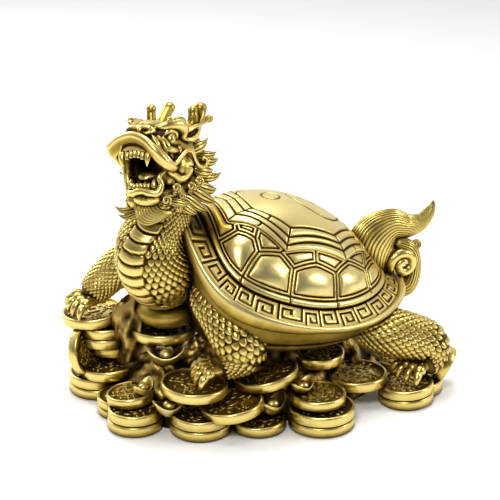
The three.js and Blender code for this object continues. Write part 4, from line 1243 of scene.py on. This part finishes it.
# Ingots: small boats with raised ends and a ball in the well, and one big smooth one under the chest.
# They are cast in one with the heap that they lie on, and rubbed to a satin.
INGOTS = [  # place, heading and length
    (-71, -5, 36, -20, 26), (-93, -22, 25, 40, 18), (-82, -38, 17, 0, 22),
    (-20, -56, 14, 30, 24), (0, -58, 24, 30, 20), (-2, 68, 18, 10, 22),
]
BOAT = np.array([  # out, up and how worn, in half lengths, from under the keel over the side into the well
    (0.02, -0.55, 0.3), (0.3, -0.54, 0.5), (0.55, -0.45, 0.7), (0.78, -0.28, 0.85),
    (0.93, -0.1, 0.95), (1.0, 0.04, 1), (0.97, 0.1, 1), (0.88, 0.08, 0.9),
    (0.74, -0.05, 0.5), (0.5, -0.14, 0.3), (0.02, -0.16, 0.3),
])
BOAT_BREADTH, BOAT_SHEER = 0.58, 0.5
r, h, bright = BOAT.T[:, :, None]
a = round_limb(56)
skins = []
for x, y, z, heading, length in INGOTS:
    half = length / 2
    up = half * (h + BOAT_SHEER * (r * np.cos(a)) ** 2)
    boat = skin(np.stack([half * r * np.cos(a), BOAT_BREADTH * half * r * np.sin(a), up], -1), bright)
    ball = lump((0, 0, 0.05 * half), (0.42 * half, 0.40 * half, 0.36 * half), worn=0.95)
    skins += laid([boat, ball], Matrix.Rotation(math.radians(heading), 3, "Z"), (x, y, z))
skins.append(lump((-63, 12.4, 61), (20.5, 20.5, 11.4), sides=80, rings=40, worn=0.45))
cast("ingots", skins, satin_brass)

# Rock: rough and dark between the coins, and flat on the floor. One broad heap carries two lumpy masses
# beside the chest, and all are cast in one with the rest.
ROCK = dict(middle=-4, half_length=96, half_width=58, top=44)
ROCK_PROFILE = ((0.0, 0.0), (0.92, 0.0), (0.9, 0.2), (0.56, 0.7), (0.3, 1.0), (0.0, 1.1))  # out and up
MASSES = (((-70, 6, 17), (24, 30, 16)), ((-80, 25, 42), (14, 13, 30)))
WAVE_SIZES = ((26, 2.2), (13, 1.6), (7, 1.1), (3.6, 0.55))  # length and strength, four waves of each
columns, rows = 200, 84
a = round_limb(columns)
outs, ups = np.array(ROCK_PROFILE).T
t = np.linspace(0, len(outs) - 1, rows)
out = np.interp(t, np.arange(len(outs)), outs)[::-1, None]
high = np.interp(t, np.arange(len(ups)), ups)[::-1, None]
lobes = 1 + 0.05 * np.cos(5 * a) + 0.03 * np.sin(7 * a)
x = ROCK["middle"] + ROCK["half_length"] * out * lobes * np.cos(a)
y = ROCK["half_width"] * out * lobes * np.sin(a)
z = ROCK["top"] * high + 0 * a
chance = np.random.default_rng(4)
WAVES = [(*wave, *chance.uniform((0, -1, 0), (6.28, 1, 6.28))) for wave in WAVE_SIZES for _ in range(4)]


def lumpiness(x, y, z):
    return sum(
        strength * 0.5 * np.sin((x * np.cos(way) + y * np.sin(way) + z * rise) / size * 2 * np.pi + start)
        for size, strength, way, rise, start in WAVES
    )


lumpy = lumpiness(x, y, z)
z = np.maximum(z + lumpy * (high > 0.02) * (out > 0.05), 0)
skins = [skin(np.stack([x, y, z], -1), np.clip(0.6 + lumpy / 5, 0.1, 1))]
for centre, radii in MASSES:
    points, faces, _ = lump(centre, radii, sides=90, rings=50)
    out = points - centre
    lumpy = lumpiness(*points.T)
    points = points + out / np.linalg.norm(out, axis=1)[:, None] * lumpy[:, None] * 0.8
    skins.append((np.maximum(points, FLOOR_CUT), faces, np.clip(0.55 + lumpy / 5, 0.1, 1)))
cast("rock", skins, dark_brass)
